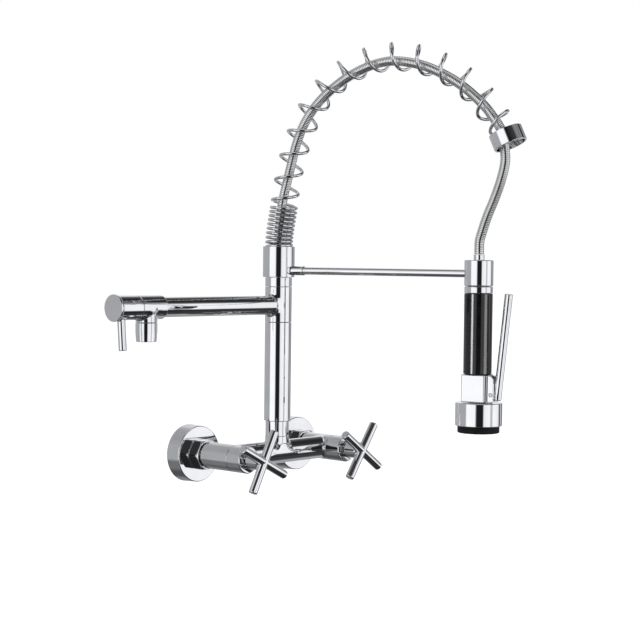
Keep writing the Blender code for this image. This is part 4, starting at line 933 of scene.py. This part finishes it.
def column():
    reach = VALVE_X + BARREL_RADIUS
    box = (-reach, -BARREL_FRONT_OUT, -BARREL_RADIUS), (reach, -BARREL_BACK_OUT, TEE_TOP)
    shaped("bridge", bridge_field, box, LARGE_CELL, Matrix.Identity(4), "base", "bridge_body")
    coupling = ring(NECK_RADIUS, COUPLING_BORE, TEE_TOP + GAP, COUPLING_TOP)
    turned("coupling", coupling, COLUMN, "base", "neck_coupling")
    start = COUPLING_TOP + GAP
    riser = [
        (SPINDLE_RADIUS, SPINDLE_TOP), (SPINDLE_RADIUS, RISER_TOP), (COLUMN_RADIUS, RISER_TOP),
        (COLUMN_RADIUS, start), (WATERWAY_RADIUS, start), (WATERWAY_RADIUS, SPINDLE_TOP),
    ]
    turned("riser_tube", riser, COLUMN, "base", "riser")
    band = ring(COLUMN_RADIUS, SPINDLE_RADIUS + GAP, SLEEVE_TOP + GAP, SWIVEL_RING_TOP)
    turned("swivel_band", band, COLUMN, "base", "swivel_ring")


# ---- spout
def spout_field(p):
    low, high = RISER_TOP + GAP, SLEEVE_TOP
    level = (0, SPOUT_HEIGHT)
    sleeve = cylinder(p, 2, COLUMN_RADIUS, low, high, edge=BROKEN_EDGE)
    tube = cylinder(p, 0, SPOUT_RADIUS, 0.005, SPOUT_LENGTH, level, BROKEN_EDGE)
    shape = melt(sleeve, tube, 0.0040)
    shape = np.maximum(shape, span(p[:, 2], low, high))
    return drilled(
        p, shape,
        (2, BUSH_BORE, low - RUN_OUT, high + RUN_OUT),
        (0, SPOUT_BORE, SPOUT_BORE_START, SPOUT_LENGTH + RUN_OUT, level),
    )


def head_field(p):
    """End body of the spout with its outlet neck below, in the spout's own frame."""
    level = (0, SPOUT_HEIGHT)
    spot = (OUTLET_REACH, 0)
    body = cylinder(p, 0, HEAD_RADIUS, SPOUT_LENGTH + GAP, HEAD_END, level, 0.0006)
    neck = cylinder(p, 2, OUTLET_RADIUS, OUTLET_LOW, SPOUT_HEIGHT, spot, BROKEN_EDGE)
    return drilled(
        p, melt(body, neck, 0.0022),
        (0, CORE_BORE, CORE_SEAT, HEAD_END + RUN_OUT, level),
        (2, WATERWAY_RADIUS, OUTLET_LOW - RUN_OUT, SPOUT_HEIGHT - 0.0040, spot),
    )


def spout():
    box = (-COLUMN_RADIUS, -COLUMN_RADIUS, RISER_TOP), (SPOUT_LENGTH, COLUMN_RADIUS, SLEEVE_TOP)
    shaped("spout_tube", spout_field, box, LARGE_CELL, SPOUT, "spout", "spout_arm")
    top = SPOUT_HEIGHT + HEAD_RADIUS
    box = (SPOUT_LENGTH, -HEAD_RADIUS, OUTLET_LOW), (HEAD_END, HEAD_RADIUS, top)
    shaped("spout_end", head_field, box, CELL, SPOUT, "spout", "spout_head")
    start = HEAD_END + GAP
    cap = [
        (0, CAP_END), (CAP_RIM_RADIUS, CAP_END, 0.0004),
        (CAP_RIM_RADIUS, CAP_END - CAP_RIM_LENGTH, 0.0002),
        (CAP_RADIUS, CAP_END - CAP_NECK_BACK, 0.0020), (HEAD_RADIUS, start + BROKEN_EDGE),
        (HEAD_RADIUS - BROKEN_EDGE, start), (0, start),
    ]
    turned("cap", cap, SPOUT_VALVE, "spout_valve", "spout_valve_cap", steps=128)
    lever = rod(CAP_LEVER_RADIUS, CAP_LEVER_ROOT, CAP_LEVER_REACH, 0.0008)
    spot = SPOUT_VALVE @ moved(z=CAP_END - CAP_LEVER_SETBACK) @ spun(90, "Y")
    turned("cap_lever", lever, spot, "spout_valve", "spout_valve_lever", steps=64)
    top = OUTLET_LOW - GAP
    foot = top - AERATOR_LENGTH
    housing = [
        (AERATOR_RADIUS, top, 0.0004), (AERATOR_RADIUS, foot + AERATOR_TAPER, 0.0090),
        (AERATOR_FOOT, foot, 0.0006), (AERATOR_LIP_BORE, foot),
        (AERATOR_LIP_BORE, foot + AERATOR_LIP), (AERATOR_BORE, foot + AERATOR_LIP),
        (AERATOR_BORE, top),
    ]
    turned("aerator", housing, OUTLET, "spout", "aerator_housing")


# ---- tower and wand
def collar_field(p):
    low = SWIVEL_RING_TOP + GAP
    body = cylinder(p, 2, COLLAR_RADIUS, low, COLLAR_TOP, edge=0.0005)
    return drilled(
        p, body,
        (2, RECESS_RADIUS, SPRING_SEAT, COLLAR_TOP + RUN_OUT),
        (2, BUSH_BORE, low - RUN_OUT, BUSH_SEAT),
        (2, WATERWAY_RADIUS, COLLAR_PORT_LOW, COLLAR_TOP),
        (0, ARM_BORE, ARM_SEAT, 0.03, (0, ARM_HEIGHT)),
        (0, SCREW_BORE, -0.03, -0.005, (0, ARM_HEIGHT + COLLAR_SCREW_RISE)),
    )


def dock_field(p):
    body = cylinder(p, 2, DOCK_RADIUS, DOCK_LOW, DOCK_TOP, edge=0.0010)
    body = carve(body, cylinder(p, 2, DOCK_BORE, DOCK_LOW - RUN_OUT, DOCK_TOP + RUN_OUT), 0.0008)
    return drilled(p, body, (0, ARM_BORE, -0.022, -DOCK_ARM_SEAT, (0, ARM_HEIGHT)))


def tower():
    box = round_box(COLLAR_RADIUS, SWIVEL_RING_TOP + GAP, COLLAR_TOP)
    shaped("collar", collar_field, box, CELL, TOWER, "tower", "tower_collar")
    line = TOWER @ moved(z=ARM_HEIGHT) @ spun(90, "Y")
    turned("arm", rod(ARM_RADIUS, ARM_START, ARM_END), line, "tower", "holder_arm", steps=64)
    start = COLLAR_RADIUS + GAP
    sleeve = ring(ARM_SOCKET_RADIUS, ARM_BORE, start, start + ARM_SOCKET_LENGTH)
    turned("arm_collar", sleeve, line, "tower", "arm_sleeve", steps=64)
    box = round_box(DOCK_RADIUS, DOCK_LOW, DOCK_TOP)
    shaped("dock", dock_field, box, CELL, WAND, "tower", "dock_ring")
    end = [
        (END_RADIUS, 0, 0.0006), (END_RADIUS, -END_LENGTH, 0.0006), (END_SKIRT_BORE, -END_LENGTH),
        (END_SKIRT_BORE, -END_WEB_LOW), (END_BORE, -END_WEB_LOW), (END_BORE, -END_SEAT),
        (RECESS_RADIUS, -END_SEAT), (RECESS_RADIUS, 0),
    ]
    turned("end_ring", end, END_COLLAR, "tower", "spring_end_collar")


def block_field(p):
    x, y = BLOCK_HALF
    block = slab(p, (-x, -y, BLOCK_LOW), (x, y, BLOCK_TOP), 0.0015)
    for inner, outer in (sorted(-side for side in EAR_SIDES), EAR_SIDES):
        low = (EAR_ROOT, inner, BLOCK_LOW + EAR_SETBACK)
        high = (EAR_REACH, outer, BLOCK_TOP - EAR_SETBACK)
        ear = slab(p, low, high, 0.0004)
        ear = np.maximum(ear, bevel(p[:, 0] - EAR_REACH, p[:, 2] - EAR_SHOULDER, 0.9))
        block = melt(block, ear, 0.0002)
    return drilled(
        p, block,
        (1, PIVOT_BORE, -0.02, 0.02, PIVOT),
        (2, WATERWAY_RADIUS, BLOCK_LOW - RUN_OUT, BLOCK_TOP + RUN_OUT),
        (0, PLUNGER_BORE, 0.003, 0.02, (0, PLUNGER_HEIGHT)),
    )


def lever_field(p):
    foot, tip = Vector(LEVER_FOOT), Vector(LEVER_TIP)
    along = (tip - foot).normalized()
    x, z = p[:, 0] - foot.x, p[:, 2] - foot.y
    upright = np.stack([x * along.y - z * along.x, p[:, 1], x * along.x + z * along.y], 1)
    rod = cylinder(upright, 2, LEVER_RADIUS, 0, (tip - foot).length, edge=0.0009)
    half = LEVER_HALF_WIDTH
    (near, low), (far, high) = LEVER_WEB
    web = slab(p, (near, -half, low), (far, half, high), 0.0004)
    boss = cylinder(p, 1, PIVOT_BOSS, -half, half, PIVOT, 0.0004)
    shape = melt(melt(web, boss, 0.0006), rod, 0.0012)
    return drilled(p, shape, (1, PIVOT_BORE, -0.01, 0.01, PIVOT))


def spray_face():
    radius = SPRAY_BORE - GAP
    dish = FACE_LOW + FACE_DISH
    face = [
        (0, FACE_TOP), (radius, FACE_TOP), (radius, FACE_LOW, 0.0012),
        (radius - 0.0024, FACE_LOW, 0.0006), (radius - 0.0036, dish, 0.0004), (0, dish),
    ]
    jet = [(0, dish + 0.0002), (0.0013, dish + 0.0002), (0.0008, FACE_LOW), (0, FACE_LOW)]
    disc = turned_mesh("spray_face_disc", face)
    nozzle = turned_mesh("nozzle", jet, 20, 0.0002)
    joined = bmesh.new()
    joined.from_mesh(disc)
    for count, radius in NOZZLE_CIRCLES:
        for i in range(count):
            angle = 2 * math.pi * i / count
            copy = nozzle.copy()
            copy.transform(moved(radius * math.cos(angle), radius * math.sin(angle)))
            joined.from_mesh(copy)
    mesh = bpy.data.meshes.new("spray_rubber")
    joined.to_mesh(mesh)
    joined.free()
    mesh.shade_smooth()
    mesh.set_sharp_from_angle(angle=math.radians(40))
    piece("spray_rubber", mesh, SPRAY, "wand", RUBBER, "spray_face")


def wand():
    neck = [
        (WAND_RADIUS - WAND_BEVEL, WAND_TOP, 0.0006), (WAND_RADIUS, WAND_TOP - WAND_BEVEL, 0.0006),
        (WAND_RADIUS, WAND_FLANGE_TOP, 0.0004), (GRIP_RADIUS, WAND_FLANGE_TOP, 0.0011),
        (GRIP_RADIUS, WAND_LOW, 0.0005), (WAND_BORE, WAND_LOW), (WAND_BORE, WAND_TOP),
    ]
    turned("neck", neck, WAND, "wand", "wand_neck")
    ferrule = [
        (FERRULE_RADIUS, FERRULE_TOP, 0.0004), (FERRULE_RADIUS, FERRULE_LOW),
        (FERRULE_BORE, FERRULE_LOW), (FERRULE_BORE, FERRULE_TOP),
    ]
    turned("ferrule", ferrule, WAND, "wand", "hose_ferrule", steps=64)
    sleeve = ring(GRIP_RADIUS, GRIP_BORE, GRIP_LOW, GRIP_TOP, 0.0006)
    turned("grip", sleeve, WAND, "wand", "grip_sleeve", GRIP_BLACK)
    x, y = BLOCK_HALF
    box = (-x, -y, BLOCK_LOW), (EAR_REACH, y, BLOCK_TOP)
    shaped("block", block_field, box, CELL, WAND, "wand", "valve_block")
    shaped("lever", lever_field, LEVER_BOX, SMALL_CELL, WAND, "squeeze_lever", "trigger_lever")
    outside = SPRAY_RADIUS, SPRAY_LOW, SPRAY_TOP, (0.0009, 0.0009)
    shell = cup(*outside, SPRAY_BORE, SPRAY_WEB, WATERWAY_RADIUS)
    turned("spray_shell", shell, SPRAY, "wand", "spray_head_shell", steps=128)
    spray_face()


# ---- light, floor and background
CHROME_SHINE = 0.89


def tone(level):
    """What a direction must give for chrome to show this picture level, 0 to 255."""
    share = level / 255
    return ((share + 0.055) / 1.055) ** 2.4 / CHROME_SHINE


class Sky(Graph):
    """The studio as the metal sees it, in bands of direction round the tap and of height."""

    def __init__(self, world):
        world.use_nodes = True
        self.nodes = world.node_tree.nodes
        self.links = world.node_tree.links
        self.out = self.nodes["World Output"]
        self.direction = self.nodes.new("ShaderNodeTexCoord").outputs["Generated"]

    def dot(self, vector):
        node = self.nodes.new("ShaderNodeVectorMath")
        node.operation = "DOT_PRODUCT"
        self.links.new(self.direction, node.inputs[0])
        node.inputs[1].default_value = vector
        return node.outputs["Value"]

    def math(self, operation, first, second=None):
        node = self.nodes.new("ShaderNodeMath")
        node.operation = operation
        for socket, value in zip(node.inputs, (first, second)):
            if isinstance(value, (int, float)):
                socket.default_value = value
            elif value is not None:
                self.links.new(value, socket)
        return node.outputs[0]

    def bands(self, position, stops, low, high, tint=(1.0, 1.0, 1.0)):
        """A ramp over stops of (angle in degrees, level)."""
        node = self.nodes.new("ShaderNodeValToRGB")
        elements = node.color_ramp.elements
        while len(elements) < len(stops):
            elements.new(0.5)
        for element, (angle, value) in zip(elements, stops):
            element.position = (angle - low) / (high - low)
            element.color = (value * tint[0], value * tint[1], value * tint[2], 1)
        self.links.new(position, node.inputs["Fac"])
        return node.outputs["Color"]


# Each band is a ring of the studio: (degrees round the tap from the camera's side, level).
LEVEL_BAND = (
    (-180, 235), (-172, 195), (-158, 170), (-72, 163), (-65, 254), (-24, 250), (-16, 32), (15, 26),
    (21, 236), (50, 249), (55, 190), (63, 184), (69, 249), (90, 243), (104, 230), (110, 150),
    (115, 70), (123, 72), (125, 226), (130, 226), (132, 74), (137, 84), (146, 140), (158, 190),
    (180, 235),
)
UPPER_BAND = (
    (-180, 225), (-165, 195), (-135, 175), (-110, 155), (-84, 160), (-74, 215), (-60, 200),
    (-47, 100), (-34, 38), (-12, 20), (0, 36), (20, 52), (60, 56), (82, 66), (88, 150),
    (96, 150), (102, 64), (118, 52), (130, 90), (145, 130), (160, 104), (172, 108), (180, 225),
)
HIGH_BAND = (
    (-180, 228), (-168, 212), (-158, 172), (-145, 158), (-100, 152), (-78, 160), (-66, 225),
    (-52, 205), (-42, 120), (-28, 60), (20, 50), (40, 70), (50, 130), (78, 150), (90, 42), (140, 40),
    (152, 62), (165, 92), (172, 150), (180, 228),
)
CROWN_BAND = (
    (-180, 190), (-168, 165), (-145, 122), (-100, 112), (-75, 115), (-58, 56), (0, 62), (30, 80),
    (48, 120), (80, 110), (92, 44), (140, 44), (160, 110), (180, 190),
)
LOW_BAND = (
    (-180, 150), (-165, 128), (-140, 114), (-80, 112), (-62, 92), (-30, 95), (-15, 110), (0, 76),
    (22, 36), (35, 36), (48, 98), (66, 98), (74, 30), (98, 36), (110, 62), (126, 52), (148, 180),
    (165, 148), (180, 150),
)
FLOOR_BAND = (
    (-180, 150), (-168, 110), (-158, 84), (-145, 78), (-120, 78), (-80, 88), (-50, 90), (-20, 60),
    (60, 52), (84, 54), (98, 26), (117, 28), (122, 70), (136, 70), (143, 150), (180, 160),
)
NADIR_BAND = (
    (-180, 62), (-150, 48), (-110, 62), (-70, 78), (-40, 52), (0, 40), (60, 46), (100, 40),
    (140, 30), (170, 40), (180, 62),
)

COOL = (0.965, 0.975, 1.0)
ZENITH = (tone(214), tone(215), tone(217), 1)
ZENITH_START, ZENITH_FULL = 64, 74
RINGS_ABOVE = ((UPPER_BAND, 22, 27), (HIGH_BAND, 33, 38), (CROWN_BAND, 47, 53))
RINGS_BELOW = ((LOW_BAND, -17, -24), (FLOOR_BAND, -40, -46), (NADIR_BAND, -53, -63))
DIFFUSE_GREY = (0.62, 0.62, 0.63, 1)
WHITE = (1, 1, 1, 1)


def studio(sky):
    """The bands round the tap at eye level, then the rings above and below them, each taking
    over between two heights in degrees."""
    turn = sky.math("ARCTAN2", sky.dot(tuple(RIGHT)), sky.dot(tuple(TOWARD)))
    turn = sky.math("ADD", sky.math("MULTIPLY", turn, 0.5 / math.pi), 0.5)
    rise = sky.math("ARCSINE", sky.dot((0, 0, 1)))
    rise = sky.math("ADD", sky.math("MULTIPLY", rise, 1 / math.pi), 0.5)

    def around(band):
        return sky.bands(turn, [(angle, tone(level)) for angle, level in band], -180, 180, COOL)

    seen = around(LEVEL_BAND)
    for band, start, full in RINGS_ABOVE:
        seen = sky.mix(sky.bands(rise, [(start, 0), (full, 1)], -90, 90), seen, around(band))
    seen = sky.mix(sky.bands(rise, [(ZENITH_START, 0), (ZENITH_FULL, 1)], -90, 90), seen, ZENITH)
    for band, start, full in RINGS_BELOW:
        seen = sky.mix(sky.bands(rise, [(full, 1), (start, 0)], -90, 90), seen, around(band))
    return seen


def background():
    world = bpy.data.worlds.new("studio")
    bpy.context.scene.world = world
    sky = Sky(world)
    path = sky.nodes.new("ShaderNodeLightPath").outputs
    shine = sky.nodes["Background"]
    sky.links.new(studio(sky), shine.inputs["Color"])
    plain = sky.nodes.new("ShaderNodeBackground")
    plain.inputs["Color"].default_value = DIFFUSE_GREY
    white = sky.nodes.new("ShaderNodeBackground")
    white.inputs["Color"].default_value = WHITE
    shiny = sky.math("MAXIMUM", path["Is Glossy Ray"], path["Is Transmission Ray"])
    lit = sky.mix_shaders(shiny, plain.outputs[0], shine.outputs[0])
    shown = sky.mix_shaders(path["Is Camera Ray"], lit, white.outputs[0])
    sky.links.new(shown, sky.out.inputs["Surface"])
    world.cycles.sampling_method = "NONE"


FLOOR_LEVEL = -0.30
FLOOR_RADIUS = 14


def floor():
    shape = bmesh.new()
    bmesh.ops.create_circle(shape, cap_ends=True, segments=96, radius=FLOOR_RADIUS)
    mesh = bpy.data.meshes.new("floor")
    shape.to_mesh(mesh)
    shape.free()
    ground = bpy.data.objects.new("floor", mesh)
    bpy.context.scene.collection.objects.link(ground)
    ground.location = (0, 0, FLOOR_LEVEL)
    look = Look("floor_white")
    look.fixed(Roughness=0.9, Specular_IOR_Level=0.0)
    look.feed("Base Color", look.ramp(look.noise(3, 2), (0.80, 0.80, 0.80), (0.83, 0.83, 0.83)))
    emission = look.nodes.new("ShaderNodeEmission")
    emission.inputs["Color"].default_value = WHITE
    emission.inputs["Strength"].default_value = 0.62
    total = look.nodes.new("ShaderNodeAddShader")
    path = look.nodes.new("ShaderNodeLightPath")
    plain = look.shader.outputs[0]
    look.links.new(plain, total.inputs[0])
    look.links.new(emission.outputs[0], total.inputs[1])
    seen = look.mix_shaders(path.outputs["Is Camera Ray"], plain, total.outputs[0])
    look.links.new(seen, look.nodes["Material Output"].inputs["Surface"])
    mesh.materials.append(look.made)
    ground.visible_glossy = False


def lamp(name, place, target, size, power):
    data = bpy.data.lights.new(name, "AREA")
    data.shape = "DISK"
    data.size = size
    data.energy = power
    made = bpy.data.objects.new(name, data)
    bpy.context.scene.collection.objects.link(made)
    aim = (Vector(place) - Vector(target)).to_track_quat("Z", "Y")
    made.matrix_world = Matrix.LocRotScale(Vector(place), aim, None)
    made.visible_glossy = False
    return made


STRIP_DISTANCE = 2.0
STRIP_HEIGHT = 0.5
GRIP_MIDDLE = 0.13


def strip_lamp(name, turn, width, power):
    """An upright strip light that only the wand's black grip mirrors."""
    around = math.radians(turn)
    grip = WAND @ Vector((0, 0, GRIP_MIDDLE))
    place = grip + STRIP_DISTANCE * (math.cos(around) * TOWARD + math.sin(around) * RIGHT)
    made = lamp(name, place, grip, width, power)
    made.data.shape = "RECTANGLE"
    made.data.size_y = STRIP_HEIGHT
    made.visible_glossy = True
    made.visible_camera = False
    made.visible_diffuse = False
    receivers = bpy.data.collections.new(name + "_receivers")
    receivers.objects.link(bpy.data.objects["grip"])
    made.light_linking.receiver_collection = receivers


# ---- the frame's own nodes
def dress_nodes():
    """Gives every node that still shows a finish in place of its plain one. The valve tails show
    in the gap at the union nuts, where they are plated."""
    looks = {slot: look for look, slot in SLOT_OF.items() if look != WIRE_CHROME}
    slots = {part["node"]: part["material_slot"] for part in frame["record"]["subparts"]}
    for name, obj in frame["nodes"].items():
        look = CHROME if name.startswith("valve_tail") else looks[slots[name]]
        if not obj.material_slots:
            obj.data.materials.append(look)
        for slot in obj.material_slots:
            slot.material = look


add_camera()
hoses()
spring()
valves()
column()
spout()
tower()
wand()
dress_nodes()
background()
floor()
centre = (0, -0.15, 0.2)
lamp("key", (-2.2, -1.2, 1.9), centre, 1.6, 22)
lamp("fill", (1.4, -2.4, 1.2), centre, 1.8, 14)
lamp("top", (0.2, -0.2, 2.6), centre, 2.0, 12)
strip_lamp("strip_left", -54, 0.50, 12)
strip_lamp("strip_right", 62, 1.10, 8)
bpy.context.scene.view_settings.view_transform = "Standard"
